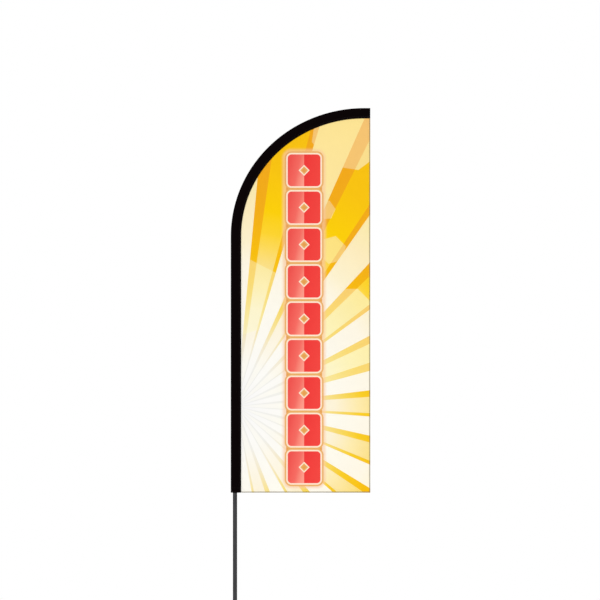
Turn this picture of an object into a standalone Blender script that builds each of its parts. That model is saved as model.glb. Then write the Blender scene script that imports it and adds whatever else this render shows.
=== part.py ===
"""Feather flag on a three-piece bent pole, standing in the ground on a stake with a ball-bearing spindle.

Units are metres and +Z is up. The origin is on the pole's axis at ground level. The flag lies in the XZ plane
and reaches out from the pole along +X. Everything below z = 0 is the part of the stake that is in the soil.
"""

import math

import bmesh
import bpy
from mathutils import Vector

MM = 0.001
GAP = 0.3 * MM  # clearance kept between pieces that touch

# Flag: a straight sided banner whose pole edge turns over the top in a quarter ellipse.
FLAG_WIDTH = 0.635
FLAG_HEIGHT = 1.751
FLAG_TOP = 2.440
FLAG_BOTTOM = FLAG_TOP - FLAG_HEIGHT
ARC_REACH = 0.608  # half axis of the ellipse along X
ARC_RISE = 0.583  # half axis of the ellipse along Z
ARC_START = FLAG_TOP - ARC_RISE
PANEL_THICKNESS = 1.0 * MM
HEM_WIDTH = 5.0 * MM
HEM_WALL = 0.6 * MM

# Pole sleeve: a folded strip that holds the pole and grips the panel's edge between its two layers.
SLEEVE_WIDTH = 47.0 * MM
SLEEVE_WALL = 0.8 * MM
SLEEVE_TUCK = 8.0 * MM  # how far the panel reaches in between the layers
SLEEVE_SLOT = PANEL_THICKNESS / 2 + 0.4 * MM  # half the gap between the layers at the seam
SLEEVE_ROUNDNESS = 0.7
BULGE_FOOT = 14.5 * MM  # half thickness of the hollow at the mouth
BULGE_TIP = 9.0 * MM  # and at the tip of the pole
POLE_INSET = 19.3 * MM  # pole axis from the sleeve's outer edge
TIP_INSET = 12.0 * MM  # the same at the tip, where the bent rod presses outwards
END_SEAM = 26.0 * MM  # length over which the sleeve's end is drawn flat and sewn shut
FLAG_LEFT = -POLE_INSET
FLAG_RIGHT = FLAG_LEFT + FLAG_WIDTH
STRAIGHT_RINGS = 6
ARC_RINGS = 26
SECTION_POINTS = 6  # from the fold to the seam, on each side

# Pole: two aluminium tubes and a tapered fibreglass rod, each plugged into the one below.
LOWER_RADIUS = 9.525 * MM
MIDDLE_RADIUS = 8.0 * MM
TUBE_WALL = 1.2 * MM
ROD_FOOT_RADIUS = 4.75 * MM
ROD_TIP_RADIUS = 3.0 * MM
OVERLAP = 0.100  # how deep one section sits in the next
LOWER_TOP = 0.980
MIDDLE_TOP = 1.820
ROD_END_ANGLE = math.radians(88.4)  # where the rod stops on the ellipse
COLLAR_LENGTH = 0.028
COLLAR_WALL = 1.2 * MM
PLUG_LENGTH = 0.012

# Snap button that locks the lower joint.
BUTTON_HEIGHT = 0.930
BUTTON_RADIUS = 3.0 * MM
BUTTON_PROUD = 2.5 * MM
SPRING_STRIP = 0.5 * MM

# Spindle and its deep-groove ball bearing, 12 x 28 x 8 mm.
BEARING_LOW = 0.0180
BEARING_WIDTH = 8.0 * MM
BEARING_HIGH = BEARING_LOW + BEARING_WIDTH
BEARING_MID = BEARING_LOW + BEARING_WIDTH / 2
BEARING_OUTER = 14.0 * MM
BALL_COUNT = 8
BALL_RADIUS = 2.38 * MM
BALL_PITCH = 10.15 * MM
RACE_SHOULDER = 1.3 * MM  # how far each race stands past the pitch circle's middle
SPINDLE_RADIUS = 7.7 * MM
SPINDLE_TOP = 0.240
JOURNAL_RADIUS = 6.0 * MM
THREAD_RADIUS = 5.0 * MM
NUT_ACROSS = 17.0 * MM
RING_HEIGHTS = (0.070, 0.210)
RING_MINOR = 0.65 * MM
RING_MAJOR = 7.35 * MM
CAP_TOP = 0.0360
CAP_RADIUS = 20.2 * MM
CAP_PLATE = 3.0 * MM
CAP_LOW = 0.0240
CUP_RADIUS = 18.0 * MM
CUP_TOP = 0.0320
CUP_FLOOR = 0.0100
CUP_FOOT = 3.0 * MM  # width and height of the weld fillet round the cup
NUT_WELL_RADIUS = 12.25 * MM
RETAINER_INNER = 12.6 * MM
RETAINER_OUTER = 15.3 * MM
RETAINER_THICKNESS = 1.2 * MM
FLANGE_RADIUS = 12.0 * MM
FLANGE_THICKNESS = 3.7 * MM
THREAD_LOW = CUP_FLOOR + GAP

# Stake.
PLATE_RADIUS = 0.055
PLATE_THICKNESS = 4.0 * MM
STAKE_RADIUS = 8.0 * MM
NECK_RADIUS = 6.0 * MM  # the bar's upper end, in the cup's floor
STAKE_DEPTH = 0.450
POINT_LENGTH = 0.070
BLADE_COUNT = 4
BLADE_REACH = 0.048
BLADE_DEPTH = 0.150
BLADE_STRAIGHT = 0.030
BLADE_THICKNESS = 2.5 * MM

ROUND_STEPS = 24
SMOOTH_ANGLE = math.radians(35)


# ---------------------------------------------------------------- scene, collections and finishes


def clear_scene():
    for obj in list(bpy.data.objects):
        bpy.data.objects.remove(obj)


def new_collection(name):
    collection = bpy.data.collections.new(name)
    bpy.context.scene.collection.children.link(collection)
    return collection


def finish(name, colour, roughness, metallic=0.0):
    """A Principled material of one colour."""
    material = bpy.data.materials.new(name)
    material.use_nodes = True
    shader = material.node_tree.nodes["Principled BSDF"]
    shader.inputs["Base Color"].default_value = (*colour, 1.0)
    shader.inputs["Roughness"].default_value = roughness
    shader.inputs["Metallic"].default_value = metallic
    return material


clear_scene()
FLAG_PARTS = new_collection("Feather_flag")
CUTTERS = new_collection("Cutters")

PRINTED_POLYESTER = finish("Printed_polyester", (0.98, 0.80, 0.25), 0.75)
BLACK_POLYESTER = finish("Black_polyester", (0.012, 0.010, 0.011), 0.85)
EDGE_TAPE = finish("Edge_tape", (0.55, 0.48, 0.38), 0.85)
WEBBING = finish("Webbing", (0.02, 0.02, 0.022), 0.9)
BLACK_ALUMINIUM = finish("Black_anodised_aluminium", (0.045, 0.045, 0.048), 0.38, 0.8)
FIBREGLASS = finish("Black_fibreglass", (0.03, 0.03, 0.032), 0.30)
BRIGHT_ALUMINIUM = finish("Bright_aluminium", (0.70, 0.70, 0.72), 0.35, 1.0)
NYLON = finish("Black_nylon", (0.025, 0.025, 0.027), 0.55)
RUBBER = finish("Black_rubber", (0.015, 0.015, 0.015), 0.85)
PLATED_STEEL = finish("Zinc_plated_steel", (0.62, 0.62, 0.64), 0.32, 1.0)
BEARING_STEEL = finish("Bearing_steel", (0.75, 0.75, 0.77), 0.15, 1.0)
SPRING_STEEL = finish("Spring_steel", (0.50, 0.50, 0.52), 0.30, 1.0)
CAGE_BRASS = finish("Cage_brass", (0.70, 0.52, 0.22), 0.35, 1.0)


# ---------------------------------------------------------------- modelling helpers


def add_object(name, data, material, location=(0, 0, 0), rotation=(0, 0, 0)):
    """Links data as a named object, with its material."""
    if material is not None:
        data.materials.append(material)
    obj = bpy.data.objects.new(name, data)
    obj.location = location
    obj.rotation_euler = rotation
    FLAG_PARTS.objects.link(obj)
    return obj


def as_cutter(obj):
    """Moves an object to the cutters, which show as wires and are left out of a render."""
    FLAG_PARTS.objects.unlink(obj)
    CUTTERS.objects.link(obj)
    obj.hide_render = True
    obj.display_type = "WIRE"
    return obj


def settle(obj):
    """Replaces an object's modifiers by their result, shaded smooth between its sharp edges."""
    bpy.context.view_layer.update()
    graph = bpy.context.evaluated_depsgraph_get()
    mesh = bpy.data.meshes.new_from_object(obj.evaluated_get(graph))
    obj.modifiers.clear()
    obj.data = mesh
    mesh.shade_smooth()
    mesh.set_sharp_from_angle(angle=SMOOTH_ANGLE)
    return obj


def turned(name, profile, material, ring=True, location=(0, 0, 0), rotation=(0, 0, 0)):
    """Turns a (radius, height) profile about Z. It runs down the outer side, and a ring's profile is closed."""
    points = [(radius, 0.0, height) for radius, height in profile]
    edges = [(i, i + 1) for i in range(len(points) - 1)]
    if ring:
        edges.append((len(points) - 1, 0))
    mesh = bpy.data.meshes.new(name)
    mesh.from_pydata(points, edges, [])
    obj = add_object(name, mesh, material, location, rotation)
    screw = obj.modifiers.new("Turn", "SCREW")
    screw.steps = screw.render_steps = ROUND_STEPS
    screw.use_merge_vertices = True
    screw.merge_threshold = 0.00001
    return settle(obj)


def tube_profile(inner, outer, low, high):
    """The closed profile of a plain tube."""
    return [(inner, high), (outer, high), (outer, low), (inner, low)]


def cylinder(name, radius, depth, material, location, rotation=(0, 0, 0), sides=ROUND_STEPS):
    mesh = bpy.data.meshes.new(name)
    shape = bmesh.new()
    bmesh.ops.create_cone(
        shape, cap_ends=True, segments=sides, radius1=radius, radius2=radius, depth=depth
    )
    shape.to_mesh(mesh)
    shape.free()
    return add_object(name, mesh, material, location, rotation)


def cut(obj, cutter):
    """Subtracts a cutter from an object."""
    boolean = obj.modifiers.new("Cut", "BOOLEAN")
    boolean.operation = "DIFFERENCE"
    boolean.object = cutter


def line_curve(name, points, closed):
    """A flat curve of straight runs through (x, y) points."""
    curve = bpy.data.curves.new(name, "CURVE")
    curve.dimensions = "2D"
    spline = curve.splines.new("POLY")
    spline.points.add(len(points) - 1)
    for slot, (x, y) in zip(spline.points, points):
        slot.co = (x, y, 0.0, 1.0)
    spline.use_cyclic_u = closed
    return curve


def plate(name, outline, thickness, material, location=(0, 0, 0), rotation=(0, 0, 0)):
    """A flat piece of an outline, centred on its own XY plane."""
    curve = line_curve(name, outline, True)
    curve.fill_mode = "BOTH"
    curve.extrude = thickness / 2
    return add_object(name, curve, material, location, rotation)


def ribbon(name, points, width, thickness, material, location=(0, 0, 0), rotation=(0, 0, 0)):
    """A strip that stands on edge along a path in its own XY plane."""
    curve = line_curve(name, points, False)
    curve.fill_mode = "NONE"
    curve.extrude = width / 2
    obj = add_object(name, curve, material, location, rotation)
    shell = obj.modifiers.new("Thickness", "SOLIDIFY")
    shell.thickness = thickness
    shell.offset = 0.0
    return obj


def arc_points(radius, start, end, count):
    """(x, y) points on a circle about the axis, from one angle in degrees to another."""
    angles = [math.radians(start + (end - start) * i / (count - 1)) for i in range(count)]
    return [(radius * math.cos(a), radius * math.sin(a)) for a in angles]


# ---------------------------------------------------------------- the flag's edge and the pole's line


def smooth(share):
    """Eases from 0 to 1 with level ends."""
    share = min(1.0, max(0.0, share))
    return share * share * (3.0 - 2.0 * share)


def ellipse_station(angle):
    """(point, inward direction) on the sleeve's outer edge, from 0 where the bend starts to 90 degrees."""
    point = Vector(
        (
            FLAG_LEFT + ARC_REACH * (1.0 - math.cos(angle)),
            0.0,
            ARC_START + ARC_RISE * math.sin(angle),
        )
    )
    inward = Vector((math.cos(angle) / ARC_REACH, 0.0, -math.sin(angle) / ARC_RISE))
    return point, inward.normalized()


def edge_stations():
    """(point, inward direction, share of the bend) along the outer edge, from the mouth to the closed end."""
    found = []
    for i in range(STRAIGHT_RINGS):
        height = FLAG_BOTTOM + (ARC_START - FLAG_BOTTOM) * i / STRAIGHT_RINGS
        found.append((Vector((FLAG_LEFT, 0.0, height)), Vector((1, 0, 0)), 0.0))
    for i in range(ARC_RINGS + 1):
        share = i / ARC_RINGS
        found.append((*ellipse_station(share * math.pi / 2), share))
    end_rings = 3
    bend_end = FLAG_LEFT + ARC_REACH
    for i in range(1, end_rings + 1):
        reach = bend_end + (FLAG_RIGHT - bend_end) * i / end_rings
        found.append((Vector((reach, 0.0, FLAG_TOP)), Vector((0, 0, -1)), 1.0))
    return found


def pole_inset(share):
    """The pole axis from the outer edge, at a share of the bend."""
    return POLE_INSET + (TIP_INSET - POLE_INSET) * smooth(share)


def sleeve_half_thickness(across, inset, bulge):
    """Half the hollow's thickness, from the fold at 0 to the seam at 1, with its bulge over the pole."""
    peak = math.log(0.5) / math.log(inset / SLEEVE_WIDTH)
    swell = max(0.0, math.sin(math.pi * across**peak)) ** SLEEVE_ROUNDNESS
    return SLEEVE_SLOT * math.sqrt(across) + (bulge - SLEEVE_SLOT) * swell


def lofted_shell(name, sections, wall, material):
    """A thin shell through sections of as many points each, grown outwards from them."""
    mesh = bpy.data.meshes.new(name)
    count = len(sections[0])
    points = [point for section in sections for point in section]
    faces = []
    for row in range(len(sections) - 1):
        for column in range(count - 1):
            a = row * count + column
            faces.append((a, a + count, a + count + 1, a + 1))
    mesh.from_pydata(points, [], faces)
    obj = add_object(name, mesh, material)
    shell = obj.modifiers.new("Thickness", "SOLIDIFY")
    shell.thickness = wall
    shell.offset = 1.0
    return settle(obj)


def sleeve_section(station, bulge, inset, first, last, shrink=0.0):
    """One section, from the front seam round the fold to the back seam, over shares of the width."""
    point, inward, _ = station
    section = []
    for i in range(-SECTION_POINTS, SECTION_POINTS + 1):
        across = first + (last - first) * (abs(i) / SECTION_POINTS) ** 1.5
        half = max(0.0, sleeve_half_thickness(across, inset, bulge) - shrink)
        side = (i > 0) - (i < 0)
        offset = SLEEVE_WALL + across * (SLEEVE_WIDTH - SLEEVE_WALL)
        section.append(point + inward * offset + Vector((0.0, side * half, 0.0)))
    return section


# ---------------------------------------------------------------- flag


def build_sleeve():
    """The black pocket, open at its mouth and along its seam, and drawn flat at the tip."""
    stations = edge_stations()
    travelled = [0.0]
    for before, after in zip(stations, stations[1:]):
        travelled.append(travelled[-1] + (after[0] - before[0]).length)
    sections = []
    for station, run in zip(stations, travelled):
        taper = run / travelled[-1]
        closing = smooth((travelled[-1] - run) / END_SEAM)
        bulge = BULGE_FOOT + (BULGE_TIP - BULGE_FOOT) * taper
        bulge = SLEEVE_SLOT + (bulge - SLEEVE_SLOT) * closing
        sections.append(sleeve_section(station, bulge, pole_inset(station[2]), 0.0, 1.0))
    lofted_shell("pole_sleeve", sections, SLEEVE_WALL, BLACK_POLYESTER)


def build_mouth_band():
    """A band of webbing sewn round the inside of the sleeve's mouth."""
    height = 15 * MM
    shrink = 1.4 * MM
    sections = []
    for rise in (GAP, height):
        station = (Vector((FLAG_LEFT, 0.0, FLAG_BOTTOM + rise)), Vector((1, 0, 0)), 0.0)
        sections.append(sleeve_section(station, BULGE_FOOT, POLE_INSET, 0.035, 0.80, shrink))
    lofted_shell("sleeve_mouth_band", sections, 0.6 * MM, WEBBING)


def panel_outline():
    """The printed panel's outline, in X and Z, whose curved side is tucked into the sleeve."""
    inset = SLEEVE_WIDTH - SLEEVE_TUCK
    right = FLAG_RIGHT - HEM_WALL - GAP
    bottom = FLAG_BOTTOM + HEM_WALL + GAP
    outline = [(right, bottom)]
    for point, inward, _ in reversed(edge_stations()[STRAIGHT_RINGS:]):
        spot = point + inward * inset
        outline.append((min(spot.x, right), spot.z))
    outline.append((FLAG_LEFT + inset, bottom))
    return outline


def build_panel():
    upright = (math.pi / 2, 0.0, 0.0)
    plate("flag_panel", panel_outline(), PANEL_THICKNESS, PRINTED_POLYESTER, rotation=upright)


def hem_section():
    """A channel that wraps the panel's edge, in its own plane, with its closed side at +X."""
    half = PANEL_THICKNESS / 2 + GAP
    outer = half + HEM_WALL
    return [
        (HEM_WIDTH, -outer),
        (HEM_WIDTH, outer),
        (0.0, outer),
        (0.0, half),
        (HEM_WIDTH - HEM_WALL, half),
        (HEM_WIDTH - HEM_WALL, -half),
        (0.0, -half),
        (0.0, -outer),
    ]


def build_hems():
    """Narrow folded hems down the free edge and along the bottom."""
    clear = 1.5 * MM
    top = FLAG_TOP - SLEEVE_WIDTH - clear
    left = FLAG_LEFT + SLEEVE_WIDTH + clear
    side_length = top - FLAG_BOTTOM
    bottom_length = FLAG_RIGHT - HEM_WIDTH - GAP - left
    plate(
        "side_hem",
        hem_section(),
        side_length,
        EDGE_TAPE,
        location=(FLAG_RIGHT - HEM_WIDTH, 0.0, FLAG_BOTTOM + side_length / 2),
    )
    plate(
        "bottom_hem",
        hem_section(),
        bottom_length,
        EDGE_TAPE,
        location=(left + bottom_length / 2, 0.0, FLAG_BOTTOM + HEM_WIDTH),
        rotation=(0.0, math.pi / 2, 0.0),
    )


def build_straps():
    """Two hook-and-loop straps that close round the pole inside the mouth, and overlap behind it."""
    width = 25 * MM
    thickness = 0.7 * MM
    near = LOWER_RADIUS + 0.75 * MM
    far = near + thickness + GAP
    height = FLAG_BOTTOM + 18 * MM + width / 2
    loop_side = arc_points(near, 12, 202, 24)
    hook_side = arc_points(near, -12, -135, 16) + arc_points(far, -152, -222, 9)
    ribbon("strap_loop_side", loop_side, width, thickness, WEBBING, location=(0, 0, height))
    ribbon("strap_hook_side", hook_side, width, thickness, WEBBING, location=(0, 0, height))


# ---------------------------------------------------------------- pole


def build_foot_and_lower_tube():
    foot_low = CAP_TOP + GAP
    lip = 2.0 * MM
    tube_low = foot_low + lip + GAP
    bore = LOWER_RADIUS - TUBE_WALL
    outside = LOWER_RADIUS + GAP
    turned(
        "pole_foot_bushing",
        [
            (outside, foot_low + 0.020),
            (outside + 1.0 * MM, foot_low + 0.020),
            (outside + 1.8 * MM, foot_low + 0.017),
            (outside + 1.8 * MM, foot_low),
            (bore, foot_low),
            (bore, foot_low + lip),
            (outside, foot_low + lip),
        ],
        NYLON,
    )
    tube = turned(
        "pole_lower_tube", tube_profile(bore, LOWER_RADIUS, tube_low, LOWER_TOP), BLACK_ALUMINIUM
    )
    return tube


def build_middle_tube():
    bore = MIDDLE_RADIUS - TUBE_WALL
    low = LOWER_TOP - OVERLAP
    return turned(
        "pole_middle_tube", tube_profile(bore, MIDDLE_RADIUS, low, MIDDLE_TOP), BLACK_ALUMINIUM
    )


def build_collar(name, tube_radius, tube_top):
    """A ring that stiffens a tube's mouth, with a lip over its rim."""
    bore = tube_radius - TUBE_WALL
    inner = tube_radius + GAP
    outer = inner + COLLAR_WALL
    high = tube_top + 3.0 * MM
    turned(
        name,
        [
            (bore, high),
            (outer - 0.8 * MM, high),
            (outer, high - 0.8 * MM),
            (outer, high - COLLAR_LENGTH),
            (inner, high - COLLAR_LENGTH),
            (inner, tube_top + GAP),
            (bore, tube_top + GAP),
        ],
        NYLON,
    )


def build_stop_plug(name, bore, high):
    """A nylon plug in a tube, that the section above rests on."""
    radius = bore - GAP
    edge = 0.8 * MM
    low = high - PLUG_LENGTH
    turned(
        name,
        [
            (0.0, high),
            (radius - edge, high),
            (radius, high - edge),
            (radius, low + edge),
            (radius - edge, low),
            (0.0, low),
        ],
        NYLON,
        ring=False,
    )


def rod_line():
    """Points down the middle of the bent rod, from its foot to its tip."""
    foot = MIDDLE_TOP - OVERLAP
    line = [Vector((0.0, 0.0, foot)), Vector((0.0, 0.0, MIDDLE_TOP))]
    for i in range(ARC_RINGS + 1):
        angle = ROD_END_ANGLE * i / ARC_RINGS
        point, inward = ellipse_station(angle)
        line.append(point + inward * pole_inset(angle / (math.pi / 2)))
    return line


def build_rod(line):
    curve = bpy.data.curves.new("pole_top_rod", "CURVE")
    curve.dimensions = "3D"
    curve.bevel_depth = ROD_FOOT_RADIUS
    curve.bevel_resolution = 3
    curve.use_fill_caps = True
    spline = curve.splines.new("POLY")
    spline.points.add(len(line) - 1)
    tip_share = ROD_TIP_RADIUS / ROD_FOOT_RADIUS
    for i, (slot, place) in enumerate(zip(spline.points, line)):
        slot.co = (*place, 1.0)
        slot.radius = 1.0 + (tip_share - 1.0) * i / (len(line) - 1)
    add_object("pole_top_rod", curve, FIBREGLASS)


def build_rod_ferrule():
    bore = MIDDLE_RADIUS - TUBE_WALL
    low = MIDDLE_TOP - OVERLAP
    profile = tube_profile(ROD_FOOT_RADIUS + GAP, bore - GAP, low, MIDDLE_TOP + 6.0 * MM)
    turned("rod_ferrule", profile, BRIGHT_ALUMINIUM)


def build_tip_cap(line):
    """A rounded nylon cap on the rod's end, which keeps it from piercing the sleeve."""
    direction = (line[-1] - line[-2]).normalized()
    bore = ROD_TIP_RADIUS + GAP
    radius = 6.0 * MM
    depth = 15 * MM
    dome_base = GAP + 1.5 * MM
    dome = [
        (radius * math.sin(a), dome_base + radius * math.cos(a))
        for a in (math.radians(d) for d in range(0, 91, 15))
    ]
    inside = [(radius, -depth), (bore, -depth), (bore, GAP), (0.0, GAP)]
    turned(
        "rod_tip_cap",
        dome + inside,
        NYLON,
        ring=False,
        location=line[-1],
        rotation=(0.0, math.atan2(direction.x, direction.z), 0.0),
    )


def build_tip_pocket(line):
    """A loop of webbing inside the sleeve's end that takes the thrust of the rod."""
    direction = (line[-1] - line[-2]).normalized()
    half = 6.8 * MM
    length = 35 * MM
    path = [(-length, -half)] + arc_points(half, -90, 90, 13) + [(-length, half)]
    start = line[-1] + direction * (2.5 * MM)
    tilt = math.atan2(direction.z, direction.x)
    ribbon(
        "tip_pocket",
        path,
        12 * MM,
        0.6 * MM,
        WEBBING,
        location=start,
        rotation=(0.0, -tilt, 0.0),
    )


def build_lock_button(lower_tube, middle_tube):
    """The button and leaf spring of the lower joint, and the holes that it comes out through."""
    across = (0.0, math.pi / 2, 0.0)
    hole_length = 0.012
    cutter = cylinder(
        "Button_hole",
        BUTTON_RADIUS + GAP,
        hole_length,
        None,
        (LOWER_RADIUS, 0.0, BUTTON_HEIGHT),
        across,
        24,
    )
    as_cutter(cutter)
    cut(lower_tube, cutter)
    cut(middle_tube, cutter)

    face = LOWER_RADIUS + BUTTON_PROUD
    back = 4.0 * MM
    flange = BUTTON_RADIUS + 0.9 * MM
    flange_face = back + 1.1 * MM
    turned(
        "lock_button",
        [
            (0.0, face),
            (BUTTON_RADIUS - 1.2 * MM, face),
            (BUTTON_RADIUS - 0.4 * MM, face - 0.4 * MM),
            (BUTTON_RADIUS, face - 1.2 * MM),
            (BUTTON_RADIUS, flange_face),
            (flange, flange_face),
            (flange, back),
            (0.0, back),
        ],
        BRIGHT_ALUMINIUM,
        ring=False,
        location=(0.0, 0.0, BUTTON_HEIGHT),
        rotation=across,
    )

    leg = back - GAP - SPRING_STRIP / 2
    wall_side = -(MIDDLE_RADIUS - TUBE_WALL - 0.9 * MM)
    leg_top = 5.0 * MM
    bend_low = -30.0 * MM
    bend_radius = (leg - wall_side) / 2
    middle = leg - bend_radius
    bend = [(middle + x, bend_low + y) for x, y in arc_points(bend_radius, 0, -180, 11)]
    path = [(leg, leg_top)] + bend + [(wall_side, leg_top)]
    ribbon(
        "lock_spring",
        path,
        5.0 * MM,
        SPRING_STRIP,
        SPRING_STEEL,
        location=(0.0, 0.0, BUTTON_HEIGHT),
        rotation=(math.pi / 2, 0.0, 0.0),
    )


# ---------------------------------------------------------------- spindle and bearing


def groove(middle_radius, outward):
    """Points of a race's ball groove, bottom to top. outward is 1 on the inner race and -1 on the outer."""
    radius = BALL_RADIUS + GAP
    rise = math.sqrt(radius**2 - (RACE_SHOULDER + 0.2 * MM) ** 2)
    limit = math.degrees(math.asin(rise / radius))
    angles = [math.radians(-limit + 2 * limit * i / 4) for i in range(5)]
    return [
        (middle_radius - outward * radius * math.cos(a), BEARING_MID + radius * math.sin(a))
        for a in angles
    ]


def build_bearing_races():
    chamfer = 0.4 * MM
    outer_face = BALL_PITCH + RACE_SHOULDER + 0.2 * MM
    inner_face = BALL_PITCH - RACE_SHOULDER - 0.2 * MM
    turned(
        "bearing_outer_race",
        [
            (outer_face, BEARING_HIGH),
            (BEARING_OUTER - chamfer, BEARING_HIGH),
            (BEARING_OUTER, BEARING_HIGH - chamfer),
            (BEARING_OUTER, BEARING_LOW + chamfer),
            (BEARING_OUTER - chamfer, BEARING_LOW),
            (outer_face, BEARING_LOW),
        ]
        + groove(BALL_PITCH, -1),
        BEARING_STEEL,
    )
    bore = JOURNAL_RADIUS + GAP
    turned(
        "bearing_inner_race",
        [(bore, BEARING_HIGH), (inner_face, BEARING_HIGH)]
        + list(reversed(groove(BALL_PITCH, 1)))
        + [(inner_face, BEARING_LOW), (bore, BEARING_LOW)],
        BEARING_STEEL,
    )


def ball_place(index):
    angle = 2 * math.pi * index / BALL_COUNT
    return (BALL_PITCH * math.cos(angle), BALL_PITCH * math.sin(angle), BEARING_MID)


def sphere_mesh(name, radius, segments, rings):
    mesh = bpy.data.meshes.new(name)
    shape = bmesh.new()
    bmesh.ops.create_uvsphere(shape, u_segments=segments, v_segments=rings, radius=radius)
    shape.to_mesh(mesh)
    shape.free()
    mesh.shade_smooth()
    return mesh


def build_balls_and_cage():
    """Eight balls, and the crown cage that keeps them apart."""
    ball = sphere_mesh("Ball", BALL_RADIUS, 12, 8)
    ball.materials.append(BEARING_STEEL)
    pocket = sphere_mesh("Pocket", BALL_RADIUS + GAP, 12, 8)
    cage = turned(
        "bearing_cage",
        tube_profile(BALL_PITCH - 0.9 * MM, BALL_PITCH + 0.9 * MM, BEARING_MID - 3.6 * MM, BEARING_MID),
        CAGE_BRASS,
    )
    for index in range(BALL_COUNT):
        add_object(f"bearing_ball_{index + 1}", ball, None, ball_place(index))
        cutter = add_object(f"Pocket_{index + 1}", pocket, None, ball_place(index))
        cut(cage, as_cutter(cutter))


def build_spindle():
    """The turning pin that the pole's foot slides over, with a groove for each rubber ring."""
    groove_floor = RING_MAJOR - RING_MINOR - GAP
    groove_half = RING_MINOR + GAP
    sides = [(0.0, SPINDLE_TOP), (SPINDLE_RADIUS - 3.0 * MM, SPINDLE_TOP)]
    sides += [(SPINDLE_RADIUS - 1.0 * MM, SPINDLE_TOP - 2.0 * MM), (SPINDLE_RADIUS, SPINDLE_TOP - 5.0 * MM)]
    for height in reversed(RING_HEIGHTS):
        sides += [
            (SPINDLE_RADIUS, height + groove_half),
            (groove_floor, height + groove_half),
            (groove_floor, height - groove_half),
            (SPINDLE_RADIUS, height - groove_half),
        ]
    flange_high = CAP_TOP - CAP_PLATE - GAP
    flange_low = flange_high - FLANGE_THICKNESS
    shoulder = BEARING_HIGH + GAP
    journal_low = BEARING_LOW - GAP
    sides += [
        (SPINDLE_RADIUS, flange_high),
        (FLANGE_RADIUS, flange_high),
        (FLANGE_RADIUS, flange_low),
        (SPINDLE_RADIUS, flange_low),
        (SPINDLE_RADIUS, shoulder),
        (JOURNAL_RADIUS, shoulder),
        (JOURNAL_RADIUS, journal_low),
        (THREAD_RADIUS, journal_low),
        (THREAD_RADIUS, THREAD_LOW),
        (0.0, THREAD_LOW),
    ]
    turned("spindle", sides, PLATED_STEEL, ring=False)


def build_spindle_nut():
    """The hexagonal nut that holds the inner race up against the spindle's shoulder."""
    low = THREAD_LOW + GAP
    high = BEARING_LOW - GAP
    nut = cylinder(
        "spindle_nut",
        NUT_ACROSS / math.sqrt(3),
        high - low,
        PLATED_STEEL,
        (0.0, 0.0, (low + high) / 2),
        sides=6,
    )
    hole = cylinder("Nut_hole", THREAD_RADIUS + GAP, 0.02, None, nut.location, sides=24)
    cut(nut, as_cutter(hole))


def build_seal_rings():
    for number, height in enumerate(RING_HEIGHTS, start=1):
        profile = [
            (RING_MAJOR + RING_MINOR * math.cos(a), height + RING_MINOR * math.sin(a))
            for a in (math.radians(90 - 60 * i) for i in range(6))
        ]
        turned(f"spindle_ring_{number}", profile, RUBBER)


def build_dust_cap():
    """The cap that covers the bearing cup and carries the foot of the pole."""
    plate_low = CAP_TOP - CAP_PLATE
    skirt = CUP_RADIUS + 0.6 * MM
    turned(
        "dust_cap",
        [
            (SPINDLE_RADIUS + GAP, CAP_TOP),
            (CAP_RADIUS - 2.5 * MM, CAP_TOP),
            (CAP_RADIUS - 0.6 * MM, CAP_TOP - 0.8 * MM),
            (CAP_RADIUS, CAP_TOP - 2.5 * MM),
            (CAP_RADIUS, CAP_LOW),
            (skirt, CAP_LOW),
            (skirt, plate_low),
            (SPINDLE_RADIUS + GAP, plate_low),
        ],
        NYLON,
    )


# ---------------------------------------------------------------- stake


def build_bearing_cup():
    """The steel cup welded on the plate, bored for the bearing and grooved for its retaining ring."""
    seat = BEARING_LOW - GAP
    bore = BEARING_OUTER + GAP
    low = PLATE_THICKNESS + GAP
    groove_radius = RETAINER_OUTER + GAP
    groove_top = BEARING_HIGH + RETAINER_THICKNESS + 2 * GAP
    turned(
        "bearing_cup",
        [
            (bore, CUP_TOP),
            (CUP_RADIUS - 0.8 * MM, CUP_TOP),
            (CUP_RADIUS, CUP_TOP - 0.8 * MM),
            (CUP_RADIUS, low + CUP_FOOT),
            (CUP_RADIUS + CUP_FOOT, low),
            (NECK_RADIUS + GAP, low),
            (NECK_RADIUS + GAP, CUP_FLOOR),
            (NUT_WELL_RADIUS, CUP_FLOOR),
            (NUT_WELL_RADIUS, seat),
            (bore, seat),
            (bore, BEARING_HIGH),
            (groove_radius, BEARING_HIGH),
            (groove_radius, groove_top),
            (bore, groove_top),
        ],
        PLATED_STEEL,
    )


def build_retaining_ring():
    """The split ring that holds the bearing down in its cup."""
    low = BEARING_HIGH + GAP
    profile = tube_profile(RETAINER_INNER, RETAINER_OUTER, low, low + RETAINER_THICKNESS)
    ring = turned("retaining_ring", profile, SPRING_STEEL)
    split = cylinder("Ring_split", 3.0 * MM, 0.01, None, (BEARING_OUTER, 0.0, low), sides=16)
    cut(ring, as_cutter(split))


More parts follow.
